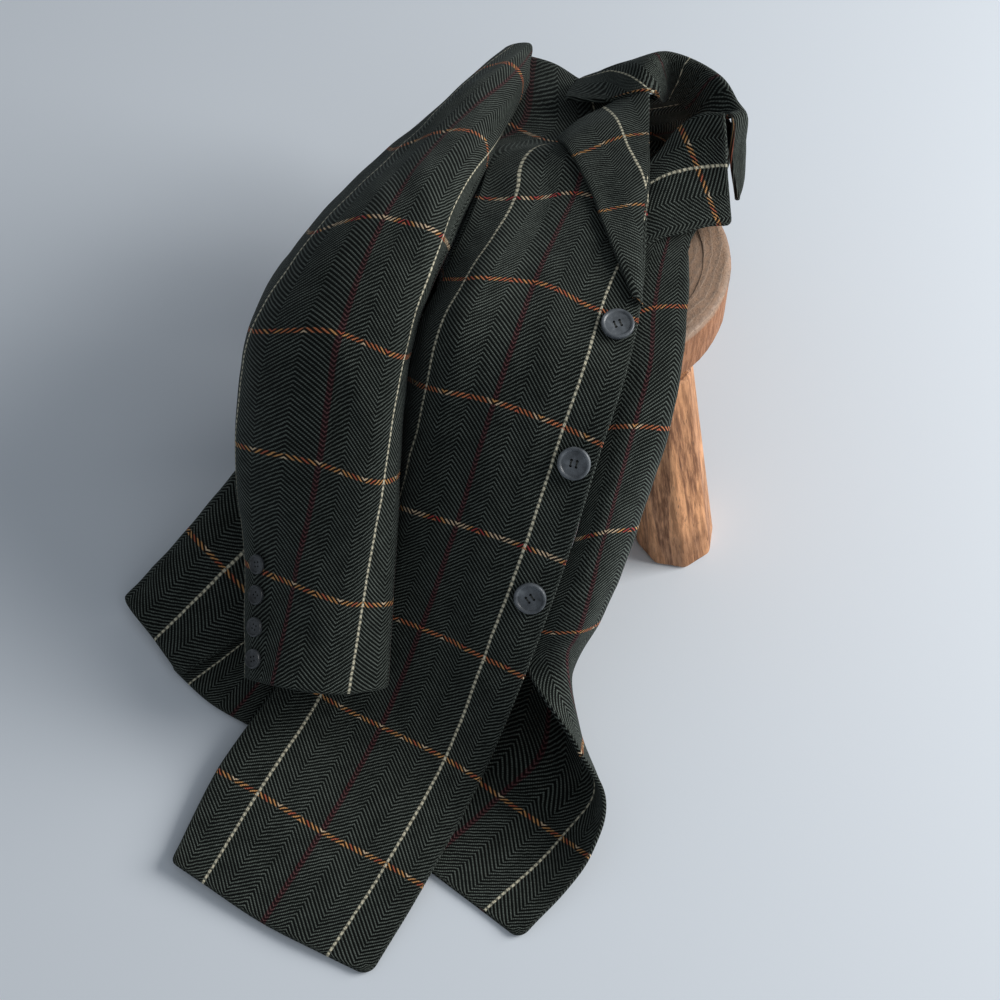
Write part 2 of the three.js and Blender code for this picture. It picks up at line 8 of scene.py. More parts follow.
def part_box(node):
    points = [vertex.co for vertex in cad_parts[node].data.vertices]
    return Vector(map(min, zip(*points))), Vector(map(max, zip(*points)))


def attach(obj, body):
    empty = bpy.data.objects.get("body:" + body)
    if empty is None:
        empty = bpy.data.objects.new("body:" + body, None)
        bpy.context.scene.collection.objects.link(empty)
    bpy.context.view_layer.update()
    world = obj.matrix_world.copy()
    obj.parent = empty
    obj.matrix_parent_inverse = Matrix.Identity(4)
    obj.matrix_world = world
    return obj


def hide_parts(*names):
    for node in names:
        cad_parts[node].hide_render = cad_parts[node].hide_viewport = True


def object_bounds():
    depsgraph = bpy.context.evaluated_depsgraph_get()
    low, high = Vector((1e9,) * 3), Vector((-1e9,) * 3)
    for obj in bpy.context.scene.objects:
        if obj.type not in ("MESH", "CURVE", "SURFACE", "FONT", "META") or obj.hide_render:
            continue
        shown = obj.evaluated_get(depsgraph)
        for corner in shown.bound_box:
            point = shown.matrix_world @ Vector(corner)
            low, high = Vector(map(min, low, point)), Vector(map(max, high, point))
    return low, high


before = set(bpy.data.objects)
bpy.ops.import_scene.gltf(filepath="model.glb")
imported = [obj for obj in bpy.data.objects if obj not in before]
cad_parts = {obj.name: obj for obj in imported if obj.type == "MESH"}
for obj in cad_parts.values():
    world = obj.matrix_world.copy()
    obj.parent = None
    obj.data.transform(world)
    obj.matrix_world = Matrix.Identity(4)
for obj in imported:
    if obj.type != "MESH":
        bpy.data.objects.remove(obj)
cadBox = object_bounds()
seatLow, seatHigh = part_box("stool_seat")
axisX = (seatLow[0] + seatHigh[0]) / 2  # the stool's own axis: every table below is measured from it
axisY = (seatLow[1] + seatHigh[1]) / 2
floorZ = cadBox[0][2]
scene = bpy.context.scene

print("camera, light and floor")
cameraSet = {"place": (-0.074, -0.8987, 1.323), "tilt": 32.0, "lens": 64.8, "sensor": 36.0}
cameraData = bpy.data.cameras.new("studio_camera")
cameraData.lens = cameraSet["lens"]
cameraData.sensor_width = cameraSet["sensor"]
camera = bpy.data.objects.new("studio_camera", cameraData)
scene.collection.objects.link(camera)
camera.location = (axisX + cameraSet["place"][0], axisY + cameraSet["place"][1], cameraSet["place"][2])
camera.rotation_euler = (math.radians(cameraSet["tilt"]), 0, 0)
scene.camera = camera
scene.view_settings.view_transform = "Standard"

# place and size are in metres from the stool, power in watts
lightSet = [
    {"name": "window", "place": (2.35, 0.1, 1.3), "aim": (0, 0, 0.12), "size": 1.6, "power": 78,
     "tint": (1.0, 0.98, 0.95)},
    {"name": "bounce", "place": (0.9, -2.1, 2.0), "aim": (0, -0.1, 0.1), "size": 2.2, "power": 7,
     "tint": (0.95, 0.98, 1.0)},
]
worldLight = {"tint": (0.84, 0.90, 0.97), "strength": 0.25}


def addLight(row):
    data = bpy.data.lights.new(row["name"], "AREA")
    data.shape = "SQUARE"
    data.size = row["size"]
    data.energy = row["power"]
    data.color = row["tint"]
    lamp = bpy.data.objects.new(row["name"], data)
    scene.collection.objects.link(lamp)
    spot = Vector((axisX, axisY, 0)) + Vector(row["place"])
    aim = Vector((axisX, axisY, 0)) + Vector(row["aim"])
    lamp.location = spot
    lamp.rotation_euler = (aim - spot).to_track_quat("-Z", "Y").to_euler()


for row in lightSet:
    addLight(row)
world = bpy.data.worlds.new("studio")
world.use_nodes = True
world.node_tree.nodes["Background"].inputs["Color"].default_value = (*worldLight["tint"], 1)
world.node_tree.nodes["Background"].inputs["Strength"].default_value = worldLight["strength"]
scene.world = world


# a material with its node tree and its shader
def plainMaterial(name, roughness):
    material = bpy.data.materials.new(name)
    material.use_nodes = True
    tree = material.node_tree
    shader = tree.nodes["Principled BSDF"]
    shader.inputs["Roughness"].default_value = roughness
    return material, tree, shader


def join(tree, source, target):
    if isinstance(source, bpy.types.NodeSocket):
        tree.links.new(source, target)
    else:
        target.default_value = source


def calc(tree, operation, a, b=0.0, c=0.0):
    node = tree.nodes.new("ShaderNodeMath")
    node.operation = operation
    for value, socket in zip((a, b, c), node.inputs):
        join(tree, value, socket)
    return node.outputs[0]


# 0 below low, 1 above high, soft between them
def step(tree, value, low, high):
    node = tree.nodes.new("ShaderNodeMapRange")
    node.interpolation_type = "SMOOTHSTEP"
    join(tree, value, node.inputs["Value"])
    node.inputs["From Min"].default_value = min(low, high)
    node.inputs["From Max"].default_value = max(low, high)
    node.inputs["To Min"].default_value = 0.0 if low < high else 1.0
    node.inputs["To Max"].default_value = 1.0 if low < high else 0.0
    return node.outputs["Result"]


def blend(tree, amount, a, b, how="MIX"):
    node = tree.nodes.new("ShaderNodeMix")
    node.data_type = "RGBA"
    node.blend_type = how
    join(tree, amount, node.inputs["Factor"])
    for value, name in ((a, "A"), (b, "B")):
        socket = [s for s in node.inputs if s.name == name and s.type == "RGBA"][0]
        join(tree, value if isinstance(value, bpy.types.NodeSocket) else (*value, 1), socket)
    return [s for s in node.outputs if s.type == "RGBA"][0]


def noise(tree, vector, scale, detail=2.0, roughness=0.5):
    node = tree.nodes.new("ShaderNodeTexNoise")
    join(tree, vector, node.inputs["Vector"])
    node.inputs["Scale"].default_value = scale
    node.inputs["Detail"].default_value = detail
    node.inputs["Roughness"].default_value = roughness
    return node.outputs["Fac"]


def ramp(tree, value, stops, how="LINEAR"):
    node = tree.nodes.new("ShaderNodeValToRGB")
    node.color_ramp.interpolation = how
    while len(node.color_ramp.elements) < len(stops):
        node.color_ramp.elements.new(0.5)
    for element, (place, tint) in zip(node.color_ramp.elements, stops):
        element.position = place
        element.color = (*tint, 1)
    join(tree, value, node.inputs["Fac"])
    return node.outputs["Color"]


def relief(tree, shader, height, distance, strength=1.0):
    node = tree.nodes.new("ShaderNodeBump")
    node.inputs["Strength"].default_value = strength
    node.inputs["Distance"].default_value = distance
    join(tree, height, node.inputs["Height"])
    tree.links.new(node.outputs["Normal"], shader.inputs["Normal"])


floorSet = {"size": 14.0, "tint": (0.80, 0.86, 0.93)}
bpy.ops.mesh.primitive_plane_add(size=floorSet["size"], location=(axisX, axisY, floorZ))
floor = bpy.context.object
floor.name = "studio_floor"
floorPaper, _, floorShader = plainMaterial("studio_paper", 0.85)
floorShader.inputs["Base Color"].default_value = (*floorSet["tint"], 1)
floorShader.inputs["Specular IOR Level"].default_value = 0.2
floor.data.materials.append(floorPaper)

print("wool")

# millimetres in the cloth: white warp stripes, a red one midway, orange weft lines
weave = {
    "checkWide": 116.0, "checkLong": 98.0, "hemBand": 82.0, "herringbone": 116.0 / 6,
    "ribAlong": 3.5, "ribAcross": 4.0, "floatAlong": 1.75, "floatAcross": 2.0,
    "wander": 1.3, "slowWander": 28, "fastWander": 230, "fibre": 900, "soft": 0.5,
    "whiteHalf": 1.0, "redHalf": 2.2, "orangeHalf": 1.9, "bead": 4.7,
    "dark": (0.0030, 0.0042, 0.0035), "light": (0.150, 0.176, 0.156),
    "white": (0.70, 0.66, 0.50), "red": (0.13, 0.020, 0.030), "redDeep": (0.020, 0.004, 0.006),
    "brown": (0.014, 0.008, 0.006),
    "dashes": [(0.0, (0.72, 0.56, 0.38)), (0.20, (0.66, 0.34, 0.13)), (0.42, (0.58, 0.20, 0.09)),
               (0.74, (0.50, 0.13, 0.07)), (0.90, (0.40, 0.05, 0.05))],
}


def woolMaterial():
    material, tree, shader = plainMaterial("check_wool", 0.88)
    uv = tree.nodes.new("ShaderNodeUVMap")
    uv.uv_map = "cloth"
    place = uv.outputs["UV"]
    split = tree.nodes.new("ShaderNodeSeparateXYZ")
    tree.links.new(place, split.inputs[0])
    drift = calc(tree, "SUBTRACT", noise(tree, place, weave["slowWander"], 2), 0.5)
    quiver = calc(tree, "SUBTRACT", noise(tree, place, weave["fastWander"], 2), 0.5)
    drift = calc(tree, "MULTIPLY_ADD", quiver, 0.7, drift)
    sideways = calc(tree, "MULTIPLY", drift, weave["wander"])
    lengthways = calc(tree, "MULTIPLY", drift, 1.4 * weave["wander"])
    across = calc(tree, "MULTIPLY_ADD", split.outputs[0], 1000.0, sideways)
    along = calc(tree, "MULTIPLY_ADD", split.outputs[1], 1000.0, lengthways)
    # twill ribs, turned round at each herringbone column
    zig = calc(tree, "PINGPONG", across, weave["herringbone"])
    ribCount = calc(tree, "ADD", calc(tree, "DIVIDE", along, weave["ribAlong"]),
                    calc(tree, "DIVIDE", zig, weave["ribAcross"]))
    wave = calc(tree, "SINE", calc(tree, "MULTIPLY", ribCount, 2 * math.pi))
    rib = step(tree, wave, -0.15, 0.95)
    # each rib is a row of short floats
    floatCount = calc(tree, "SUBTRACT", calc(tree, "DIVIDE", along, weave["floatAlong"]),
                      calc(tree, "DIVIDE", zig, weave["floatAcross"]))
    floats = calc(tree, "SINE", calc(tree, "MULTIPLY", floatCount, 2 * math.pi))
    floats = calc(tree, "MULTIPLY_ADD", floats, 0.34, 0.66)
    fibre = noise(tree, place, weave["fibre"], 3, 0.7)
    melange = calc(tree, "MULTIPLY", floats, calc(tree, "MULTIPLY_ADD", fibre, 2.2, -0.15))
    cloud = calc(tree, "MULTIPLY_ADD", noise(tree, place, 70, 4, 0.7), 2.0, 0.02)
    melange = calc(tree, "MULTIPLY", melange, cloud)
    tint = blend(tree, calc(tree, "MULTIPLY", rib, melange), weave["dark"], weave["light"])
    # dark red warp
    fromWhite = calc(tree, "PINGPONG", across, weave["checkWide"] / 2)
    half = weave["checkWide"] / 2
    redEdge, soft = half - weave["redHalf"], weave["soft"]
    inRed = step(tree, fromWhite, redEdge - soft, redEdge + soft)
    redYarn = blend(tree, rib, weave["redDeep"], weave["red"])
    tint = blend(tree, calc(tree, "MULTIPLY", inRed, 0.62), tint, redYarn)
    # orange weft: slanting dashes that follow the ribs, from cream to rust
    fromLine = calc(tree, "PINGPONG", calc(tree, "SUBTRACT", along, weave["hemBand"]),
                    weave["checkLong"] / 2)
    inLine = step(tree, fromLine, weave["orangeHalf"] + soft, weave["orangeHalf"] - soft)
    dice = tree.nodes.new("ShaderNodeTexWhiteNoise")
    dice.noise_dimensions = "1D"
    tree.links.new(calc(tree, "FLOOR", calc(tree, "ADD", ribCount, 0.25)), dice.inputs["W"])
    dash = ramp(tree, dice.outputs["Value"], weave["dashes"], "CONSTANT")
    dashed = blend(tree, step(tree, wave, 0.0, 0.6), weave["brown"], dash)
    tint = blend(tree, calc(tree, "MULTIPLY", inLine, 0.95), tint, dashed)
    # white warp: beads of thick yarn
    bead = calc(tree, "SINE", calc(tree, "MULTIPLY", along, 2 * math.pi / weave["bead"]))
    inWhite = step(tree, fromWhite, weave["whiteHalf"] + 0.45, weave["whiteHalf"] - 0.45)
    thick = calc(tree, "MULTIPLY_ADD", step(tree, bead, -0.75, 0.15), 0.78, 0.22)
    beaded = calc(tree, "MULTIPLY", inWhite, thick)
    furred = calc(tree, "MULTIPLY", beaded, calc(tree, "MULTIPLY_ADD", fibre, 0.5, 0.68))
    tint = blend(tree, furred, tint, weave["white"])
    tree.links.new(tint, shader.inputs["Base Color"])
    shader.inputs["Specular IOR Level"].default_value = 0.10
    shader.inputs["Sheen Weight"].default_value = 0.12
    shader.inputs["Sheen Roughness"].default_value = 0.45
    shader.inputs["Sheen Tint"].default_value = (0.62, 0.70, 0.68, 1)
    height = calc(tree, "ADD", calc(tree, "MULTIPLY", rib, floats), calc(tree, "MULTIPLY", fibre, 0.5))
    height = calc(tree, "ADD", height, calc(tree, "MULTIPLY", beaded, 0.8))
    relief(tree, shader, height, 0.0005, 0.85)
    return material


wool = woolMaterial()

# every cloth table is in millimetres from the stool's axis on the floor
cloth = {"half": 1.3, "step": 3.2, "rim": 6, "bulk": 0.5, "bulkWide": 11.0}


# distance up the cloth from the hem of weft line number n
def line(n):
    return weave["hemBand"] + weave["checkLong"] * n


def slopes(knots, points):
    gaps = np.diff(knots)[:, None]
    steep = np.diff(points, axis=0) / gaps
    inner = (steep[:-1] * gaps[1:] + steep[1:] * gaps[:-1]) / (gaps[1:] + gaps[:-1])
    return np.vstack([steep[:1], inner, steep[-1:]])


# smooth curve through points at knots, read at the distances in "at"
def through(knots, points, at):
    slope = slopes(knots, points)
    span = np.clip(np.searchsorted(knots, at, side="right") - 1, 0, len(knots) - 2)
    width = (knots[span + 1] - knots[span])[:, None]
    f = (at - knots[span])[:, None] / width
    f2, f3 = f * f, f * f * f
    return (points[span] * (2 * f3 - 3 * f2 + 1) + slope[span] * width * (f3 - 2 * f2 + f)
            + points[span + 1] * (3 * f2 - 2 * f3) + slope[span + 1] * width * (f3 - f2))


def unit(vectors):
    return vectors / np.maximum(np.linalg.norm(vectors, axis=-1, keepdims=True), 1e-9)


def facing(grid, closed):
    up = np.empty_like(grid)
    up[1:-1] = grid[2:] - grid[:-2]
    up[0], up[-1] = grid[1] - grid[0], grid[-1] - grid[-2]
    if closed:
        ring = grid[:, :-1]
        over = np.roll(ring, -1, axis=1) - np.roll(ring, 1, axis=1)
        over = np.concatenate([over, over[:, :1]], axis=1)
    else:
        over = np.empty_like(grid)
        over[:, 1:-1] = grid[:, 2:] - grid[:, :-2]
        over[:, 0], over[:, -1] = grid[:, 1] - grid[:, 0], grid[:, -1] - grid[:, -2]
    return unit(np.cross(over, up))


# middle surface of a panel: points, outward directions, and the cloth's own u and v there
def panelGrid(panel):
    along = np.array([row[0] for row in panel["rows"]], float)
    table = np.array([row[1:] for row in panel["rows"]], float)
    closed = panel.get("closed", False)
    flat = np.array([panel.get("cuts", {}).get(i, panel["cloth"]) for i in range(len(table))], float)
    spans = len(panel["cloth"]) - 1
    places = []
    for span in range(spans):
        steps = max(2, round((panel["cloth"][span + 1] - panel["cloth"][span]) / cloth["step"]))
        places += [(span, k / steps) for k in range(steps)]
    places.append((spans - 1, 1.0))
    span = np.array([p[0] for p in places])
    part = np.array([p[1] for p in places])
    if closed:
        table = np.concatenate([table[:, -1:], table, table[:, :2]], axis=1)
    acrossPoints = []
    for points in table:
        knots = np.concatenate([[0], np.cumsum(np.linalg.norm(np.diff(points, axis=0), axis=1))])
        first = span + (1 if closed else 0)
        reach = knots[first] + part * (knots[first + 1] - knots[first])
        acrossPoints.append(through(knots, points, reach - 1e-9))
    acrossPoints = np.array(acrossPoints)
    rows, count = acrossPoints.shape[:2]
    v = np.linspace(along[0], along[-1], max(8, round((along[-1] - along[0]) / cloth["step"])) + 1)
    grid = through(along, acrossPoints.reshape(rows, -1), v).reshape(len(v), count, 3)
    flatAcross = flat[:, span] + part * (flat[:, span + 1] - flat[:, span])
    u = through(along, flatAcross, v)
    weft = panel.get("weft", along)
    wefts = panel.get("wefts", {})
    weft = np.array([wefts.get(i, (weft[i],) * (spans + 1)) for i in range(len(table))], float)
    weftAcross = weft[:, span] + part * (weft[:, span + 1] - weft[:, span])
    v = through(along, weftAcross, v) + panel.get("weftShift", 0)
    return grid, u, v


# folds are (from, to, width, height) in the cloth's u and v; a negative height is a trough
def foldHeight(u, v, folds):
    height = np.zeros_like(u)
    for (u0, v0), (u1, v1), width, rise in folds:
        du, dv = u1 - u0, v1 - v0
        t = np.clip(((u - u0) * du + (v - v0) * dv) / (du * du + dv * dv), 0, 1)
        off = (u - u0 - t * du) ** 2 + (v - v0 - t * dv) ** 2
        height += rise * np.exp(-off / width ** 2)
    return height


# a corner's square of cloth drawn in to a quarter disc
def roundCorners(grid, corners):
    for name, radius in corners.items():
        rows = slice(None, None, -1 if name.endswith("Top") else 1)
        columns = slice(None, None, -1 if name.startswith("end") else 1)
        part = grid[rows, columns]
        across, up = np.zeros(part.shape[:2]), np.zeros(part.shape[:2])
        across[:, 1:] = np.cumsum(np.linalg.norm(np.diff(part, axis=1), axis=-1), axis=1)
        up[1:] = np.cumsum(np.linalg.norm(np.diff(part, axis=0), axis=-1), axis=0)
        a, b = radius - across, radius - up
        near = (a > 0) & (b > 0)
        size = np.hypot(a, b)
        scale = np.where(near, np.maximum(a, b) / np.maximum(size, 1e-6), 1.0)
        sideways = np.gradient(part, axis=1)
        upward = np.gradient(part, axis=0)
        part += unit(sideways) * (a * (1 - scale))[..., None]
        part += unit(upward) * (b * (1 - scale))[..., None]
    return grid


def unevenness(grid, amount):
    x, y, z = grid[..., 0], grid[..., 1], grid[..., 2]
    return amount * (np.sin(x / 17 + 1.3 * np.sin(y / 31) + z / 23) + 0.7 * np.sin(y / 13 - x / 29 + 0.8)
                     + 0.5 * np.sin((x + y) / 9.5 + z / 11))


# outward direction in the cloth at each point of its border, walked once round
def border(grid):
    rows, count = grid.shape[:2]
    walk = [(0, j) for j in range(count)] + [(i, count - 1) for i in range(1, rows)]
    walk += [(rows - 1, j) for j in range(count - 2, -1, -1)] + [(i, 0) for i in range(rows - 2, 0, -1)]
    out = []
    for i, j in walk:
        away = np.zeros(3)
        if i in (0, rows - 1):
            near = 1 if i == 0 else rows - 2
            away += unit(grid[i, j] - grid[near, j])
        if j in (0, count - 1):
            near = 1 if j == 0 else count - 2
            away += unit(grid[i, j] - grid[i, near])
        out.append(unit(away))
    return walk, np.array(out)


# a closed shell: outer face, inner face and a rounded rim between them
def clothShell(name, grid, normals, u, v, panel, edges):
    rows, count = grid.shape[:2]
    half = np.full(u.shape, panel.get("half", cloth["half"]))
    # finished edges are two layers turned together, so they are a little thicker
    for side, kind in edges.items():
        if side in ("start", "end"):
            edgeLine = grid[:, :1] if side == "start" else grid[:, -1:]
        else:
            edgeLine = grid[:1] if side == "bottom" else grid[-1:]
        away = np.linalg.norm(grid - edgeLine, axis=-1)
        if kind == "turned":
            half = half + cloth["bulk"] * np.exp(-(away / cloth["bulkWide"]) ** 4)
        elif kind == "seam":
            half = half - 0.45 * np.exp(-(away / 3.0) ** 2)
    walk, away = border(grid)
    grid = grid.copy()
    for (i, j), out in zip(walk, away):
        grid[i, j] = grid[i, j] - out * min(half[i, j], 1.3)
    outer = grid + normals * half[..., None]
    inner = grid - normals * half[..., None]
    points = [outer.reshape(-1, 3), inner.reshape(-1, 3)]
    flatU, flatV = (v - panel["white"], u) if panel.get("turned") else (u - panel["white"], v)
    hold, slow = panel.get("insideHold", (0.0, 1.0))
    insideU = flatU + panel.get("insideShift", 0.0)
    insideV = np.where(flatV > hold, hold + (flatV - hold) * slow, flatV)
    cloths = [np.stack(pair, -1).reshape(-1, 2) for pair in ((flatU, flatV), (insideU, insideV))]
    steps = panel.get("rimSteps", cloth["rim"])
    layers = panel.get("layers", 1)
    for k in range(1, steps):
        turn = math.pi * k / steps
        bulge = math.sin(turn)
        if layers > 1:
            bulge = 0.55 * bulge + 0.45 * abs(math.sin(layers * turn))
        ring, ringCloth = [], []
        for (i, j), out in zip(walk, away):
            h = half[i, j]
            ring.append(grid[i, j] + out * min(h, 1.3) * bulge + normals[i, j] * h * math.cos(turn))
            du = (j == count - 1) - (j == 0)
            dv = (i == rows - 1) - (i == 0)
            reach = h * turn
            ringCloth.append((flatU[i, j] + du * reach, flatV[i, j] + dv * reach))
        points.append(np.array(ring))
        cloths.append(np.array(ringCloth))
    points = np.concatenate(points)
    cloths = np.concatenate(cloths)
    size = rows * count
    quads = []
    for i in range(rows - 1):
        for j in range(count - 1):
            a = i * count + j
            b, c, d = a + 1, a + count + 1, a + count
            quads.append((a, b, c, d))
            quads.append((size + a, size + d, size + c, size + b))
    total = len(walk)
    rings = [[i * count + j for i, j in walk]]
    rings += [[2 * size + k * total + n for n in range(total)] for k in range(steps - 1)]
    rings += [[size + i * count + j for i, j in walk]]
    for first, second in zip(rings, rings[1:]):
        for n in range(total):
            m = (n + 1) % total
            quads.append((first[m], first[n], second[n], second[m]))
    mesh = bpy.data.meshes.new(name)
    placed = points / 1000 + np.array([axisX, axisY, floorZ])
    mesh.from_pydata(placed.tolist(), [], quads)
    layer = mesh.uv_layers.new(name="cloth")
    corners = np.empty(len(mesh.loops), dtype=np.int32)
    mesh.loops.foreach_get("vertex_index", corners)
    layer.data.foreach_set("uv", (cloths[corners] / 1000).astype(np.float32).ravel())
    mesh.polygons.foreach_set("use_smooth", [True] * len(mesh.polygons))
    mesh.materials.append(wool)
    mesh.update()
    piece = bpy.data.objects.new(name, mesh)
    scene.collection.objects.link(piece)
    return piece


# folds and unevenness move the middle surface, so both faces follow
def shapedGrid(panel):
    grid, u, v = panelGrid(panel)
    closed = panel.get("closed", False)
    normals = facing(grid, closed)
    height = foldHeight(u, v, panel.get("folds", [])) + unevenness(grid, panel.get("uneven", 0.35))
    grid = grid + normals * height[..., None]
    normals = facing(grid, closed)
    return roundCorners(grid, panel.get("round", {})), normals, u, v


def finishCloth(piece, node):
    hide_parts(node)
    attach(piece, "root")


def addPanel(node, panel):
    grid, normals, u, v = shapedGrid(panel)
    piece = clothShell("coat_" + node, grid, normals, u, v, panel, panel["edges"])
    finishCloth(piece, node)
    return piece


frontRight = {
    "flat": (0.186, 0.845), "held": "draped", "restsOn": ["stool_seat", "studio_floor"], "area": 0.148,
    "edges": {"start": "turned", "bottom": "turned", "top": "seam"}, "white": 34, "uneven": 0.35,
    "round": {"start": 10, "end": 5},
    "cloth": [0, 34, 92, 150, 184],  # columns: front edge, white, red, white, turn of the side
    "cuts": {8: (34, 62, 92, 150, 176), 9: (48, 70, 98, 150, 176), 10: (68, 96, 140, 184, 216),
             11: (104, 130, 160, 192, 222)},
    "wefts": {10: (780, 784, 780, 774, 754)},
    "rows": [
        (0, (-171, -491, 3), (-203, -476, 4), (-253, -451, 5), (-300, -421, 8), (-326, -404, 9)),
        (line(0), (-132, -424, 9), (-161, -407, 11), (-211, -382, 14), (-262, -351, 16), (-296, -331, 14)),
        (line(1), (-89, -339, 14), (-117, -322, 17), (-168, -296, 20), (-217, -270, 22), (-246, -250, 20)),
        (line(2), (-55, -280, 76), (-86, -265, 80), (-135, -240, 80), (-184, -212, 70), (-200, -192, 48)),
        (line(3), (-24, -221, 150), (-55, -210, 156), (-107, -192, 157), (-151, -162, 136),
         (-164, -138, 114)),
        (line(4), (2, -162, 221), (-27, -149, 225), (-78, -130, 230), (-129, -108, 218), (-144, -84, 196)),
        (520, (17, -124, 246), (-12, -114, 251), (-64, -94, 254), (-118, -80, 252), (-136, -56, 226)),
        (line(5), (29, -77, 258), (1, -68, 259), (-48, -43, 262), (-99, -41, 262), (-118, -24, 242)),
        (line(6), (40, 26, 260), (12, 38, 258), (-15, 50, 255), (-62, 43, 256), (-92, 50, 251)),
        (722, (44, 74, 262), (24, 88, 260), (-2, 100, 256), (-48, 102, 249), (-81.5, 108, 234.5)),
        (line(7), (45, 112, 256), (28, 122, 242), (8, 132, 226), (-32, 135, 227), (-75, 155, 213)),
        (line(7) + 72, (49, 158, 246), (20, 194, 222), (-4, 222, 207), (-26, 250, 199), (-60, 281, 181)),
    ],
    "folds": [((20, 300), (70, 560), 13, -1.6), ((60, 250), (110, 470), 15, 1.8),
              ((110, 190), (150, 420), 12, -2.0),
              ((128, 480), (150, 690), 11, -2.2), ((96, 560), (128, 700), 13, 1.6),
              ((40, 60), (120, 150), 22, 1.4),
              ((120, 20), (60, 120), 20, -1.3), ((60, 600), (96, 720), 11, -1.5)],
}

addPanel("front_right", frontRight)

frontLeft = {
    "flat": (0.125, 0.845), "held": "draped", "restsOn": ["stool_seat", "studio_floor"], "area": 0.078,
    "edges": {"start": "turned", "bottom": "turned", "top": "seam"}, "white": 95, "insideShift": 60.0,
    "insideHold": (96, 0.66),
    "round": {"start": 9, "end": 5},
    "cloth": [0, 37, 70, 125],  # columns: front edge, near, fold, under
    "rows": [
        (0, (-59, -463, 2.2), (-88, -440, 2.2), (-114, -420, 2.2), (-160, -384, 2.2)),
        (line(0), (-6, -405, 23), (-28, -383, 6.5), (-54, -363, 2.6), (-103, -327, 2.3)),
        (130, (5, -370, 48), (-1, -350, 18), (-22, -330, 5), (-74, -293, 3)),
        (185, (-16, -335, 66), (-13, -309, 40), (-19, -284, 14), (-58, -250, 6)),
        (240, (-54, -271, 76), (-23, -266, 84), (-16, -262, 66), (-40, -226, 32)),
        (line(2), (-52, -251, 97), (-14, -255, 104), (2, -240, 92), (-20, -206, 62)),
        (line(3), (-18, -206, 158), (5, -205, 168), (30, -190, 152), (12, -160, 126)),
        (line(4), (-2, -146, 218), (25, -148, 225), (51, -142, 214), (36, -122, 196)),
        (525, (8, -110, 245), (37, -108, 250), (60, -104, 247.4), (44, -109, 246.6)),
        (line(5), (16, -70, 250), (42, -60, 252), (66, -58, 251.6), (40, -44, 247.6)),
        (640, (38, 12, 250), (56, 8, 251.8), (74, 10, 251.4), (58, 28, 247.2)),
        (690, (50, 86, 255), (72, 58, 256), (96, 46, 254), (92, 74, 247.6)),
        (730, (72, 104, 266), (88, 88, 268), (99, 80, 268), (108, 104, 240)),
        (770, (103, 107, 277), (107, 114, 268), (113, 122, 250), (116, 132, 215)),
        (line(7) + 72, (96, 152, 222), (106, 158, 204), (114, 158, 180), (118, 156, 150)),
    ],
    "folds": [((30, 280), (44, 470), 8, -1.4), ((60, 320), (54, 560), 9, 1.2),
              ((20, 40), (70, 110), 14, 1.2)],
}

addPanel("front_left", frontLeft)

backRight = {
    "flat": (0.120, 0.840), "held": "draped", "restsOn": ["stool_seat", "studio_floor"], "area": 0.044,
    "edges": {"end": "turned", "bottom": "turned", "top": "seam"}, "white": 90, "round": {"end": 7},
    "cloth": [0, 60, 120],  # columns: side seam, middle, centre
    "rows": [
        (0, (-268, -292, 5), (-308, -268, 4), (-344, -234, 3)),
        (line(0), (-230, -224, 12), (-252, -212, 20), (-272, -199, 29)),
        (line(1), (-216, -214, 22), (-207, -188, 40), (-194, -161, 56)),
        (line(2), (-199, -190, 46), (-176, -158, 58), (-151, -126, 84)),
        (line(3), (-163, -136, 112), (-146, -108, 110), (-129, -81, 119)),
        (line(4), (-143, -82, 193), (-134, -52, 178), (-125, -21, 163)),
        (line(5), (-117, -22, 239), (-116, 22, 206), (-110, 59, 182)),
        (line(6), (-92, 55, 247), (-98, 98, 202), (-78, 129, 180)),
        (line(7), (-73, 182, 190), (-48, 200, 176), (-4, 213, 166)),
        (line(7) + 72, (-59, 284, 173), (13, 205, 212), (62, 190, 222)),
    ],
    "folds": [((30, 60), (50, 260), 12, -2.2), ((70, 40), (80, 240), 13, 2.0),
              ((40, 560), (60, 760), 14, -2.0)],
}

addPanel("back_right", backRight)

# the vent: the left half's edge is taken out past the centre seam, over the right half
vent = {"reach": (13, 13, 13, 11, 7), "closed": 1, "levelRows": 4, "rise": 2}


def lapVent(rows):
    lapped = []
    for i, (along, centre, white, *others) in enumerate(rows):
        centre, white = np.array(centre, float), np.array(white, float)
        away = (centre - white) / math.hypot(*(centre - white)[:2])
        lapping = i < len(vent["reach"])
        edge = centre + away * (vent["reach"][i] if lapping else vent["closed"])
        if i < vent["levelRows"]:
            edge[2] = centre[2]
        elif lapping:
            edge[2] += vent["rise"]
        lapped.append((along, tuple(edge), tuple(white), *others))
    return lapped


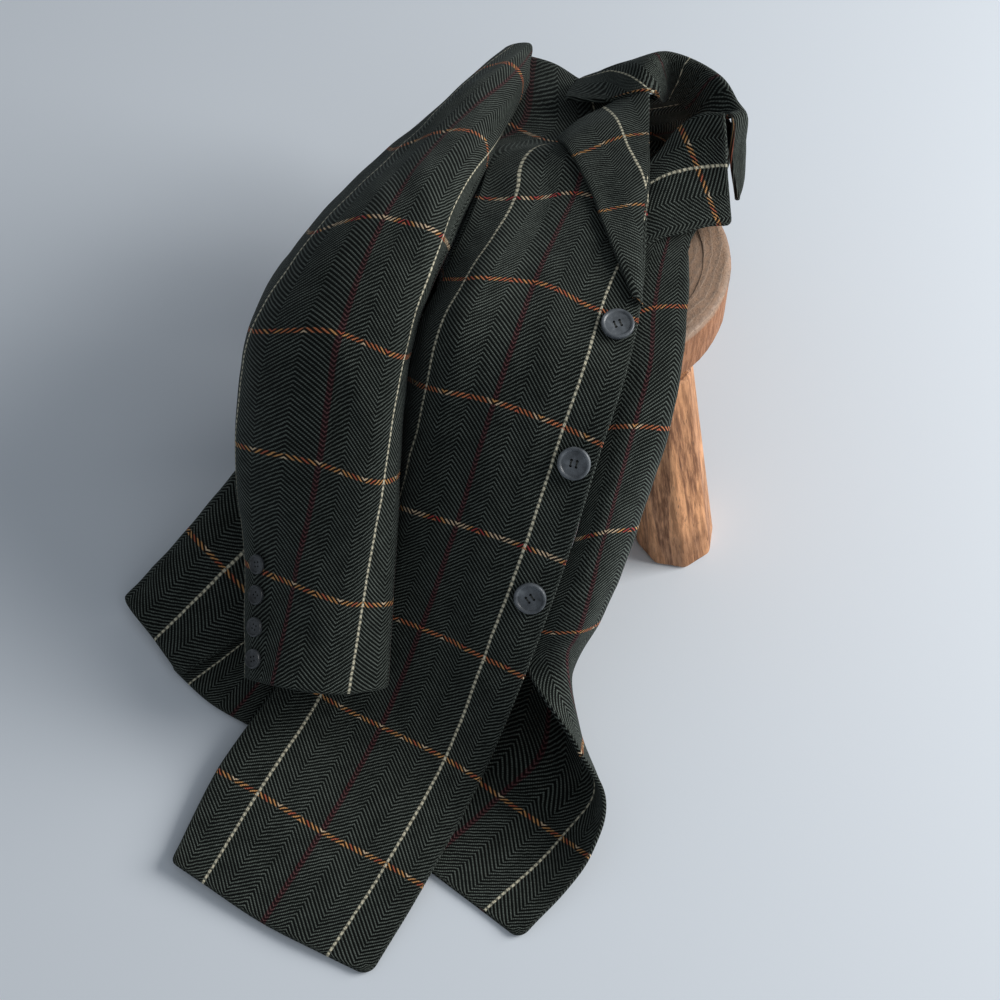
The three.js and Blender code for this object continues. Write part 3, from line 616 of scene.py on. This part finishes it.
backLeft = {
    "flat": (0.190, 0.840), "held": "draped", "restsOn": ["stool_seat", "studio_floor"], "area": 0.112,
    "edges": {"start": "turned", "bottom": "turned", "top": "seam"}, "white": 26,
    "round": {"start": 7, "end": 5},
    "cloth": [-12, 26, 75, 130, 190],  # columns: vent edge, white, fold, under, side seam
    "rows": [
        (0, (-341, -236, 9), (-357, -214, 9), (-384, -175, 12), (-345, -180, 3), (-300, -226, 3)),
        (line(0), (-268, -198, 36), (-298, -168, 46), (-330, -131, 50), (-300, -130, 18), (-250, -176, 5)),
        (line(1), (-192, -158, 61), (-228, -118, 88), (-264, -78, 106), (-244, -70, 60), (-200, -120, 20)),
        (line(2), (-150, -124, 93), (-172, -92, 118), (-212, -38, 152), (-192, -36, 104), (-150, -76, 56)),
        (line(3), (-128, -79, 127), (-146, -52, 146), (-176, 4, 178), (-156, 4, 132), (-138, -42, 98)),
        (line(4), (-124, -19, 169), (-134, 6, 178), (-154, 58, 190), (-138, 54, 146), (-135, 14, 138)),
        (line(5), (-110, 61, 189), (-114, 82, 192), (-120, 124, 194), (-92, 116, 158), (-70, 104, 148)),
        (line(6), (-78, 131, 187), (-76, 148, 190), (-60, 176, 188), (-20, 160, 158), (20, 140, 148)),
        (line(7), (-4, 214, 172), (18, 218, 168), (56, 212, 156), (84, 192, 152), (100, 166, 150)),
        (line(7) + 72, (64, 184, 228), (80, 176, 228), (92, 159, 226), (97, 151, 206), (105, 153, 182)),
    ],
    "folds": [((60, 40), (70, 300), 12, -2.2), ((100, 120), (96, 420), 13, 2.2),
              ((40, 420), (70, 700), 13, -2.4),
              ((120, 480), (96, 720), 12, 1.8)],
}

backLeft["rows"] = lapVent(backLeft["rows"])
addPanel("back_left", backLeft)

foldedLayers = {
    "flat": (0.110, 0.420), "held": "folded", "restsOn": ["stool_seat", "stool_leg_1"], "area": 0.046,
    "edges": {}, "white": 60, "half": 3.5, "layers": 3, "rimSteps": 14,
    "cloth": [0, 55, 110],  # columns: right, middle, left
    "rows": [
        (60, (-146, -352, 4.5), (-200, -316, 4.5), (-250, -276, 4.5)),
        (line(1), (-86, -274, 23), (-138, -242, 28), (-186, -208, 27)),
        (line(2), (-62, -238, 75), (-116, -212, 73.5), (-160, -182, 64)),
        (line(3), (-28, -182, 151), (-76, -164, 151.8), (-126, -140, 134)),
        (line(4), (-6, -118, 214), (-50, -112, 212), (-104, -90, 200)),
    ],
    "folds": [],
}

addPanel("folded_layers", foldedLayers)


# two-piece sleeves: the closed tube is shaped whole, then parted at its seams
def addSleeve(name, panel, seam):
    grid, normals, u, v = shapedGrid(panel)
    widths = np.diff(panel["cloth"])[:seam]
    split = sum(max(2, round(float(width) / cloth["step"])) for width in widths)
    for part, first, last in (("upper", 0, split), ("under", split, grid.shape[1] - 1)):
        cut = grid[:, first:last + 1].copy()
        cut[:, 0] += unit(cut[:, 1] - cut[:, 0]) * 0.35
        cut[:, -1] += unit(cut[:, -2] - cut[:, -1]) * 0.35
        piece = clothShell(f"coat_{name}_{part}", cut, normals[:, first:last + 1], u[:, first:last + 1],
                           v[:, first:last + 1], panel, panel["edges"])
        finishCloth(piece, f"{name}_{part}")


sleeveRight = {
    "closed": True, "edges": {"start": "seam", "end": "seam", "bottom": "turned"}, "white": 33,
    "weftShift": 7,
    "flatUpper": {"flat": (0.205, 0.605), "area": 0.105},
    "flatUnder": {"flat": (0.120, 0.605), "area": 0.065},
    "held": "draped", "restsOn": ["coat_front_right", "coat_back_left"],
    "cloth": [0, 33, 91, 158, 212, 270, 328],  # columns: front, white, red, white, back, under, front again
    "cuts": {5: (14, 46, 96, 160, 214, 276, 342), 6: (30, 64, 110, 168, 220, 286, 358),
             7: (34, 70, 114, 172, 224, 290, 362)},
    "wefts": {1: (85, 75, 75, 75, 75, 80, 85), 2: (178, 173, 173, 173, 173, 176, 178),
              4: (360, 361, 369, 369, 369, 365, 360), 5: (432, 436, 463, 467, 467, 446, 432),
              6: (548, 550, 562, 565, 565, 556, 548), 7: (592, 592, 602, 605, 605, 598, 592)},
    "rows": [
        (0, (-163, -281, 60), (-191, -291, 69), (-250, -285, 71), (-272, -270, 56), (-245, -258, 42),
         (-195, -258, 42)),
        (75, (-157, -221, 106), (-179, -239, 118), (-231, -223, 120), (-274, -186, 94), (-252, -170, 74),
         (-192, -184, 90)),
        (173, (-151, -150, 172), (-162, -172, 186), (-209, -159, 190), (-282, -104, 140), (-268, -80, 116),
         (-194, -104, 146)),
        (271, (-142, -82, 226), (-146, -96, 240), (-192, -81, 247), (-270, -36, 196), (-262, 0, 170),
         (-190, -22, 196)),
        (369, (-118, -8, 252), (-122, -10, 264), (-162, 12, 272), (-222, 28, 234), (-222, 62, 206),
         (-164, 50, 218)),
        (467, (-94, 65, 250), (-97, 78, 262), (-122, 110, 257), (-160, 120, 230), (-164, 142, 208),
         (-136, 132, 214)),
        (565, (-66, 160, 227), (-60, 184, 229), (-70, 217, 227), (-98, 224, 209), (-110, 214, 188),
         (-98, 188, 203)),
        (605, (-53, 206, 214), (-48, 242, 209), (-49, 275, 198), (-68, 281, 187), (-82, 260, 178),
         (-75, 222, 194)),
    ],
    "folds": [((60, 60), (120, 150), 12, -1.5), ((110, 120), (150, 240), 13, 1.7),
              ((60, 230), (120, 300), 12, -2.0),
              ((120, 300), (70, 380), 13, 1.6), ((20, 330), (80, 420), 12, -1.9),
              ((90, 400), (150, 500), 14, 1.6),
              ((180, 120), (200, 330), 14, -2.0), ((270, 200), (250, 420), 13, -2.0),
              ((140, 480), (110, 580), 12, -1.6)],
}

addSleeve("sleeve_right", sleeveRight, 4)

sleeveLeft = {
    "closed": True, "edges": {"start": "seam", "end": "seam", "bottom": "turned"}, "white": 30,
    "flatUpper": {"flat": (0.100, 0.480), "area": 0.040},
    "flatUnder": {"flat": (0.105, 0.480), "area": 0.043},
    "held": "laid", "restsOn": ["studio_floor"],
    "cloth": [0, 60, 120, 180, 240],  # columns: front, red, back, under, front again
    "rows": [
        (0, (-152, 190, 14), (-148, 240, 30), (-140, 292, 16), (-148, 242, 4)),
        (100, (-52, 178, 18), (-50, 236, 40), (-46, 296, 18), (-50, 238, 4)),
        (220, (54, 172, 26), (50, 232, 54), (58, 292, 24), (58, 236, 5)),
        (320, (102, 164, 60), (78, 208, 92), (96, 260, 62), (112, 214, 26)),
        (420, (112, 146, 104), (80, 166, 122), (94, 218, 110), (122, 190, 92)),
        (480, (110, 148, 143.4), (82, 160, 144.2), (86, 192, 145), (116, 176, 140.5)),
    ],
    "folds": [((30, 60), (70, 150), 12, -1.6), ((70, 190), (110, 290), 11, -2.4),
              ((60, 260), (90, 340), 10, 2.2),
              ((150, 220), (130, 330), 11, -2.0), ((100, 340), (70, 430), 12, -1.8)],
}

addSleeve("sleeve_left", sleeveLeft, 2)

collar = {
    "flat": (0.096, 0.280), "held": "folded", "restsOn": ["coat_back_left", "coat_front_right"],
    "area": 0.020,
    "edges": {"start": "turned", "bottom": "turned", "top": "turned"}, "white": 49, "turned": True,
    "cloth": [0, 30, 56, 66, 76],  # columns: outer edge, fall, fold, stand, neck seam
    "cuts": {0: (70, 79, 83, 83, 83), 7: (70, 79, 83, 83, 83)},
    "wefts": {0: (0, 3, 46, 50, 56), 1: (50, 53, 80, 86, 92), 2: (100, 103, 116, 136, 160),
              3: (160, 163, 165, 190, 212),
              4: (220, 222, 222, 240, 252), 5: (250, 250, 250, 258, 262), 6: (262, 262, 262, 266, 268),
              7: (272, 272, 272, 273, 274)},
    "rows": [
        (0, (-20, 181, 226), (12, 158.5, 247), (45, 151, 265), (50, 151, 264), (52, 152, 262)),
        (50, (-6, 216, 214), (20, 199, 242), (50, 172, 269), (60, 168, 252), (60, 168, 236)),
        (100, (20, 207, 230), (42, 197, 254), (58, 189, 269), (66, 180, 250), (66, 178, 230)),
        (160, (86, 203, 220), (84, 194, 246), (80, 183, 269), (80, 172, 250), (78, 170, 230)),
        (220, (118, 172, 224), (111, 168, 248), (101, 161, 273), (93, 153, 252), (89, 151, 232)),
        (280, (124, 134, 226), (120, 132, 254), (112, 129, 279), (102, 126, 265), (95, 127, 254)),
        (320, (123, 94, 224), (121, 101, 254), (116, 110, 283), (109, 112, 281), (103.5, 109.6, 278.4)),
        (350, (118, 78, 217), (109.5, 90, 252), (107.5, 102, 284), (107, 107, 283), (105, 109, 280)),
    ],
    "folds": [((20, 60), (60, 110), 8, -0.8), ((30, 230), (60, 260), 8, -0.7)],
}

addPanel("collar", collar)

lapelRight = {
    "flat": (0.086, 0.215), "held": "folded", "restsOn": ["coat_front_right"], "area": 0.0105,
    "edges": {"end": "turned", "top": "turned"}, "white": 44, "round": {"endTop": 4},
    "cloth": [84, 64, 44, 22, 0],  # columns: roll, near, notch, far, outer edge
    "cuts": {0: (8, 6, 4, 2, 0), 1: (21, 16, 11, 5, 0), 2: (34, 26, 18, 9, 0), 3: (46, 34, 23, 11, 0),
             4: (60, 46, 30, 15, 0), 5: (72, 55, 37, 18, 0)},
    "weft": (-10, 26, 68, 114, 160, 200, 236),
    "wefts": {4: (159, 163, 167, 169, 170), 5: (199, 203, 207, 209, 210)},
    "rows": [
        (0, (32, -66, 263), (31, -65, 264), (29, -63, 265), (27, -61, 265), (25, -60, 264)),
        (44, (34, -20, 264), (30, -21, 266), (24, -22, 267), (19, -23, 267), (14, -24, 266)),
        (82, (37, 20, 264), (29, 19, 266), (21, 18, 266), (12, 16, 265), (4, 14, 265)),
        (118, (41, 55, 264), (30, 53, 266), (19, 50, 265), (8, 48, 262), (-3, 45, 262)),
        (154, (43, 90, 266), (29, 90, 266), (15, 88, 265), (0, 83, 263), (-15, 79, 261)),
        (184, (45, 118, 266), (30, 119, 266), (13, 118, 264), (-6, 110, 261), (-23, 97, 261)),
        (212, (47, 154, 265), (32, 156, 256), (11, 153, 244), (-9, 140, 244), (-29, 118, 244.5)),
    ],
    "folds": [((30, 90), (60, 150), 9, -0.6)],
}

addPanel("lapel_right", lapelRight)

lapelLeft = {
    "flat": (0.095, 0.110), "held": "folded", "restsOn": ["coat_front_left"], "area": 0.0070,
    "edges": {"start": "turned", "top": "turned"}, "white": 44, "round": {"startTop": 5},
    "cloth": [0, 24, 44, 64, 86],  # columns: outer edge, far, white, near, roll
    "cuts": {0: (0, 26, 44, 54, 64), 1: (0, 24, 44, 58, 74), 2: (0, 24, 44, 62, 82)},
    "wefts": {0: (19, 26, 35, 41, 45), 1: (35, 42, 51, 57, 61), 2: (55, 62, 71, 77, 81),
              3: (73, 80, 89, 95, 99),
              4: (93, 100, 109, 115, 119)},
    "rows": [
        (0, (36, -2, 255), (36, 28, 255), (37, 56, 255.2), (38, 66, 255.4), (39, 76, 255.6)),
        (16, (50, 4, 257.5), (50, 34, 258.5), (53, 63, 260), (53, 76, 261), (53, 92, 261)),
        (36, (68, 9, 258), (69, 38, 261), (70, 67, 264), (70, 86, 268), (68, 108, 270)),
        (54, (86, 15, 258), (86, 40, 263), (87, 67, 268), (86, 90, 276), (84, 110, 283)),
        (74, (105, 17, 257), (104, 40, 265), (103, 64, 273), (103, 84, 282), (102, 104, 289)),
    ],
    "folds": [((30, 40), (70, 80), 9, -0.6)],
}

addPanel("lapel_left", lapelLeft)

print("buttons")


def deselect():
    if bpy.context.mode != "OBJECT":
        bpy.ops.object.mode_set(mode="OBJECT")
    bpy.ops.object.select_all(action="DESELECT")


def pickOnly(piece):
    deselect()
    piece.select_set(True)
    bpy.context.view_layer.objects.active = piece


# edit mode with only these faces or edges selected
def editParts(piece, kind, wanted):
    pickOnly(piece)
    mesh = piece.data
    for part in (*mesh.polygons, *mesh.edges, *mesh.vertices):
        part.select = False
    for part in filter(wanted, mesh.polygons if kind == "FACE" else mesh.edges):
        part.select = True
        for number in part.vertices:
            mesh.vertices[number].select = True
    bpy.ops.object.mode_set(mode="EDIT")
    bpy.ops.mesh.select_mode(type=kind)


def editFaces(piece, wanted):
    editParts(piece, "FACE", wanted)


def editEdges(piece, wanted):
    spots = piece.data.vertices
    editParts(piece, "EDGE", lambda edge: wanted(*(spots[number].co for number in edge.vertices)))


def apply(piece, modifier):
    pickOnly(piece)
    bpy.ops.object.modifier_apply(modifier=modifier.name)


hornShades = [(0.3, (0.050, 0.057, 0.064)), (0.55, (0.125, 0.140, 0.156)), (0.75, (0.24, 0.265, 0.285))]


# depth scales the horn's tint; below 1 it darkens the same horn as painted shade
def hornMaterial(name, depth):
    material, tree, shader = plainMaterial(name, 0.3)
    place = tree.nodes.new("ShaderNodeTexCoord").outputs["Object"]
    cloud = noise(tree, place, 90, 4, 0.6)
    tint = ramp(tree, cloud, [(spot, tuple(depth * part for part in shade)) for spot, shade in hornShades])
    tree.links.new(tint, shader.inputs["Base Color"])
    tree.links.new(calc(tree, "MULTIPLY_ADD", noise(tree, place, 400, 3), 0.25, 0.2),
                   shader.inputs["Roughness"])
    relief(tree, shader, noise(tree, place, 1500, 2), 0.00005, 0.5)
    return material


def threadMaterial():
    material, tree, shader = plainMaterial("button_thread", 0.8)
    place = tree.nodes.new("ShaderNodeTexCoord").outputs["Object"]
    tint = ramp(tree, noise(tree, place, 2500, 2),
                [(0.3, (0.010, 0.012, 0.011)), (0.8, (0.05, 0.055, 0.05))])
    tree.links.new(tint, shader.inputs["Base Color"])
    relief(tree, shader, noise(tree, place, 3000, 2), 0.0001, 0.8)
    return material


# the cuff buttons use the same horn with its tint cut to 0.35: painted shade, not a darker horn
horn = hornMaterial("smoky_horn", 1.0)
cuffHornPaintedShade = hornMaterial("horn_painted_shade", 0.35)
thread = threadMaterial()

frontButton = {"wide": 0.025, "thick": 0.0042, "rim": 0.0030, "hole": 0.0022, "gap": 0.0044,
               "thread": 0.0011}
cuffButton = {"wide": 0.0155, "thick": 0.0034, "rim": 0.0020, "hole": 0.0016, "gap": 0.0032,
              "thread": 0.0008}
buttonCut = {"dish": 0.0011, "middle": 0.0002, "round": 0.0011, "ease": 0.0004}


# a disc with a rounded raised rim, a dished face and four holes, modelled lying at the origin
def buttonMaster(name, sizes):
    radius, thick = sizes["wide"] / 2, sizes["thick"]
    deselect()
    bpy.ops.mesh.primitive_cylinder_add(vertices=64, radius=radius, depth=thick, location=(0, 0, 0))
    disc = bpy.context.object
    disc.name = name
    editFaces(disc, lambda face: face.normal.z > 0.9)
    bpy.ops.mesh.inset(thickness=sizes["rim"] * 0.7, depth=0)
    bpy.ops.mesh.inset(thickness=sizes["rim"] * 0.35, depth=-buttonCut["dish"])
    bpy.ops.mesh.inset(thickness=radius * 0.3, depth=-buttonCut["middle"])
    bpy.ops.object.mode_set(mode="OBJECT")
    editEdges(disc, lambda a, b: all(abs(math.hypot(p.x, p.y) - radius) < 1e-5 for p in (a, b))
              and abs(a.z - b.z) < 1e-6)
    bpy.ops.mesh.bevel(offset=buttonCut["round"], segments=4, affect="EDGES")
    bpy.ops.object.mode_set(mode="OBJECT")
    inner = radius - sizes["rim"] * 0.6
    inFace = lambda p: p.z > thick / 2 - 1e-5 and math.hypot(p.x, p.y) < inner
    editEdges(disc, lambda a, b: inFace(a) and inFace(b))
    bpy.ops.mesh.bevel(offset=buttonCut["ease"], segments=2, affect="EDGES")
    bpy.ops.object.mode_set(mode="OBJECT")
    reach = sizes["gap"] / 2
    for sideX in (-1, 1):
        for sideY in (-1, 1):
            deselect()
            bpy.ops.mesh.primitive_cylinder_add(vertices=20, radius=sizes["hole"] / 2, depth=thick * 3,
                                                location=(sideX * reach, sideY * reach, 0))
            drill = bpy.context.object
            cut = disc.modifiers.new("hole", "BOOLEAN")
            cut.operation = "DIFFERENCE"
            cut.object = drill
            cut.solver = "EXACT"
            apply(disc, cut)
            bpy.data.objects.remove(drill)
    disc.data.materials.clear()
    # the cuff buttons get the horn copy darkened as painted shade
    disc.data.materials.append(horn if sizes["wide"] > 0.02 else cuffHornPaintedShade)
    pickOnly(disc)
    bpy.ops.object.shade_smooth_by_angle(angle=math.radians(35))
    return disc


# two stitches of thread side by side over the button's holes
def threadMaster(name, sizes):
    parts = []
    reach = sizes["gap"] / 2
    for side in (-1, 1):
        for strand in (-0.5, 0.5):
            deselect()
            bpy.ops.mesh.primitive_torus_add(
                major_segments=20, minor_segments=8, major_radius=reach, minor_radius=sizes["thread"] / 3,
                location=(side * reach + strand * sizes["thread"] * 0.6, 0, sizes["thick"] / 2 - 0.0028),
                rotation=(0, math.pi / 2, 0))
            parts.append(bpy.context.object)
    deselect()
    for part in parts:
        part.select_set(True)
    bpy.context.view_layer.objects.active = parts[0]
    bpy.ops.object.transform_apply(location=True, rotation=True, scale=True)
    bpy.ops.object.join()
    stitches = bpy.context.object
    stitches.name = name
    stitches.scale = (1, 1, 0.55)
    bpy.ops.object.transform_apply(location=False, rotation=False, scale=True)
    bpy.ops.object.shade_smooth()
    stitches.data.materials.clear()
    stitches.data.materials.append(thread)
    return stitches


# a button's place and outward direction, from its solid and the cloth under it
def buttonPlace(node, panelPiece, turn):
    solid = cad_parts[node]
    points = np.array([tuple(v.co) for v in solid.data.vertices])
    middle = (points.min(axis=0) + points.max(axis=0)) / 2
    spread = points - points.mean(axis=0)
    axis = Vector(np.linalg.svd(spread, full_matrices=False)[2][2])
    under = np.array([tuple(v.co) for v in panelPiece.data.vertices])
    near = under[np.argmin(np.linalg.norm(under - middle, axis=1))]
    if axis.dot(Vector(middle) - Vector(near)) < 0:
        axis = -axis
    side = Vector((1, 0, 0)) - axis * axis.x
    side.normalize()
    frontward = axis.cross(side)
    spin = Matrix((side, frontward, axis)).transposed().to_4x4()
    return Matrix.Translation(Vector(middle)) @ spin @ Matrix.Rotation(math.radians(turn), 4, "Z")


def sewButton(node, clothName, disc, stitches, turn):
    place = buttonPlace(node, bpy.data.objects[clothName], turn)
    for master, kind in ((disc, "horn_button"), (stitches, "thread")):
        name = node.replace("button", kind)
        piece = bpy.data.objects.new(name, master.data.copy())
        scene.collection.objects.link(piece)
        piece.data.transform(place)
        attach(piece, "root")
        if master is disc:
            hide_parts(node)


bigDisc, bigThread = buttonMaster("big_disc", frontButton), threadMaster("big_thread", frontButton)
smallDisc, smallThread = buttonMaster("small_disc", cuffButton), threadMaster("small_thread", cuffButton)
for number, turn in ((1, 20), (2, -12), (3, 35)):
    sewButton(f"button_front_{number}", "coat_front_right", bigDisc, bigThread, turn)
for number, turn in ((1, 10), (2, -25), (3, 40), (4, 5)):
    sewButton(f"button_cuff_right_{number}", "coat_sleeve_right_upper", smallDisc, smallThread, turn)
    sewButton(f"button_cuff_left_{number}", "coat_sleeve_left_upper", smallDisc, smallThread, -turn)
for master in (bigDisc, bigThread, smallDisc, smallThread):
    bpy.data.objects.remove(master)

print("stool")


oakSet = {
    "ringsPerMetre": 150, "sawn": (0.37, 0.285, 0.215), "crack": (0.46, 0.36, 0.27),
    "seatPale": (0.40, 0.165, 0.062), "seatDark": (0.13, 0.050, 0.021),
    "legPale": (0.78, 0.38, 0.175), "legDark": (0.20, 0.080, 0.032),
}


def oakMaterial(name, heart, lean, pale, dark, topFrom):
    material, tree, shader = plainMaterial(name, 0.6)
    mapping = tree.nodes.new("ShaderNodeMapping")
    mapping.vector_type = "TEXTURE"
    tree.links.new(tree.nodes.new("ShaderNodeTexCoord").outputs["Object"], mapping.inputs["Vector"])
    mapping.inputs["Location"].default_value = heart
    mapping.inputs["Rotation"].default_value = lean
    place = mapping.outputs["Vector"]
    split = tree.nodes.new("ShaderNodeSeparateXYZ")
    tree.links.new(place, split.inputs[0])
    stretched = tree.nodes.new("ShaderNodeMapping")
    stretched.inputs["Scale"].default_value = (1, 1, 0.12)
    tree.links.new(place, stretched.inputs["Vector"])
    long = stretched.outputs["Vector"]
    squares = [calc(tree, "MULTIPLY", split.outputs[k], split.outputs[k]) for k in (0, 1)]
    radius = calc(tree, "SQRT", calc(tree, "ADD", *squares))
    warped = calc(tree, "MULTIPLY_ADD", noise(tree, long, 12, 3), 0.022, radius)
    warped = calc(tree, "MULTIPLY_ADD", noise(tree, long, 60, 3), 0.005, warped)
    rings = calc(tree, "FRACT", calc(tree, "MULTIPLY", warped, oakSet["ringsPerMetre"]))
    late = calc(tree, "MULTIPLY", step(tree, rings, 0.35, 0.92), step(tree, rings, 1.0, 0.93))
    grain = step(tree, noise(tree, long, 300, 5, 0.7), 0.36, 0.64)
    shade = calc(tree, "ADD", calc(tree, "MULTIPLY", late, 0.42), calc(tree, "MULTIPLY", grain, 0.62))
    between = tuple(0.5 * (a + b) for a, b in zip(pale, dark))
    tint = ramp(tree, shade, [(0.15, pale), (0.55, between), (0.95, dark)])
    blotch = step(tree, noise(tree, place, 16, 3), 0.42, 0.68)
    tint = blend(tree, calc(tree, "MULTIPLY", blotch, 0.5), tint, tuple(0.6 * c for c in dark))
    # a sawn top is greyer than the sides, and light cracks follow its rings
    level = tree.nodes.new("ShaderNodeSeparateXYZ")
    tree.links.new(place, level.inputs[0])
    onTop = step(tree, level.outputs[2], topFrom, topFrom + 0.004)
    greyed = blend(tree, 0.62, tint, oakSet["sawn"])
    broken = step(tree, noise(tree, place, 30, 3), 0.47, 0.56)
    cracks = calc(tree, "MULTIPLY", step(tree, rings, 0.06, 0.0), broken)
    greyed = blend(tree, calc(tree, "MULTIPLY", cracks, 0.8), greyed, oakSet["crack"])
    tint = blend(tree, onTop, tint, greyed)
    pores = step(tree, noise(tree, long, 900, 2, 0.6), 0.60, 0.72)
    tint = blend(tree, calc(tree, "MULTIPLY", pores, 0.6), tint, tuple(0.3 * c for c in dark))
    tree.links.new(tint, shader.inputs["Base Color"])
    tree.links.new(calc(tree, "MULTIPLY_ADD", grain, 0.3, 0.42), shader.inputs["Roughness"])
    height = calc(tree, "SUBTRACT", calc(tree, "MULTIPLY", grain, 0.5), calc(tree, "MULTIPLY", pores, 0.6))
    height = calc(tree, "MULTIPLY_ADD", late, 0.35, height)
    relief(tree, shader, height, 0.0006, 0.7)
    return material


seatSet = {"radius": 0.105, "top": 0.245, "thick": 0.052, "edge": 0.008}
legSet = {"count": 3, "heading": -55, "foot": 0.132, "head": 0.080, "footWide": 0.068, "headWide": 0.062,
          "edge": 0.0035}


def wobble(piece, seed, amount):
    pickOnly(piece)
    bpy.ops.object.mode_set(mode="EDIT")
    bpy.ops.mesh.select_all(action="SELECT")
    bpy.ops.transform.vertex_random(offset=amount, uniform=0.0, normal=0.0, seed=seed)
    bpy.ops.object.mode_set(mode="OBJECT")


def addSeat():
    deselect()
    centre = (axisX, axisY, floorZ + seatSet["top"] - seatSet["thick"] / 2)
    bpy.ops.mesh.primitive_cylinder_add(vertices=64, radius=seatSet["radius"], depth=seatSet["thick"],
                                        location=centre)
    seat = bpy.context.object
    seat.name = "stool_seat_oak"
    bpy.ops.object.transform_apply(location=True, rotation=True, scale=True)
    top = floorZ + seatSet["top"]
    for lift in (0, seatSet["thick"]):
        editEdges(seat, lambda a, b: abs(a.z - top + lift) < 1e-5 and abs(b.z - top + lift) < 1e-5
                  and math.hypot((a.x + b.x) / 2 - axisX,
                                 (a.y + b.y) / 2 - axisY) > seatSet["radius"] * 0.9)
        bpy.ops.mesh.bevel(offset=seatSet["edge"], segments=6, affect="EDGES", profile=0.6)
        bpy.ops.object.mode_set(mode="OBJECT")
    for height in (top, top - seatSet["thick"]):
        editFaces(seat, lambda face: abs(face.center.z - height) < 1e-4 and abs(face.normal.z) > 0.9)
        for _ in range(5):
            bpy.ops.mesh.inset(thickness=0.016, depth=0)
        bpy.ops.object.mode_set(mode="OBJECT")
    wobble(seat, 3, 0.0005)
    seat.data.materials.append(oakMaterial("oak_seat", (axisX - 0.012, axisY + 0.02, 0), (0.03, 0.02, 0),
                                           oakSet["seatPale"], oakSet["seatDark"], top - 0.003))
    pickOnly(seat)
    bpy.ops.object.shade_smooth_by_angle(angle=math.radians(40))
    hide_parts("stool_seat")
    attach(seat, "root")


def addLeg(index):
    heading = math.radians(legSet["heading"] + 360 / legSet["count"] * index)
    tall = seatSet["top"] - seatSet["thick"] - 0.0003
    deselect()
    bpy.ops.mesh.primitive_cylinder_add(vertices=8, radius=0.5, depth=tall, end_fill_type="NGON",
                                        location=(0, 0, tall / 2), rotation=(0, 0, heading + math.pi / 8))
    leg = bpy.context.object
    leg.name = f"stool_leg_{index + 1}_oak"
    bpy.ops.object.transform_apply(location=True, rotation=True, scale=True)
    ends = ((0, legSet["foot"], legSet["footWide"]), (tall, legSet["head"], legSet["headWide"]))
    for height, out, wide in ends:
        editFaces(leg, lambda face: abs(face.center.z - height) < 1e-5 and abs(face.normal.z) > 0.9)
        bpy.ops.transform.resize(value=(wide, wide, 1), center_override=(0, 0, height))
        footing = (axisX + out * math.cos(heading), axisY + out * math.sin(heading), floorZ)
        bpy.ops.transform.translate(value=footing)
        bpy.ops.object.mode_set(mode="OBJECT")
    editEdges(leg, lambda a, b: True)
    bpy.ops.mesh.bevel(offset=legSet["edge"], segments=3, affect="EDGES", profile=0.5)
    bpy.ops.object.mode_set(mode="OBJECT")
    lean = math.atan2(legSet["foot"] - legSet["head"], tall)
    heart = (axisX + legSet["foot"] * math.cos(heading), axisY + legSet["foot"] * math.sin(heading), 0)
    tilt = Matrix.Rotation(-lean, 3, Vector((-math.sin(heading), math.cos(heading), 0))).to_euler()
    leg.data.materials.append(oakMaterial(f"oak_leg_{index + 1}", heart, tuple(tilt),
                                          oakSet["legPale"], oakSet["legDark"], 1.0))
    pickOnly(leg)
    bpy.ops.object.shade_smooth_by_angle(angle=math.radians(30))
    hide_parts(f"stool_leg_{index + 1}")
    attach(leg, "root")


addSeat()
for index in range(legSet["count"]):
    addLeg(index)

deselect()
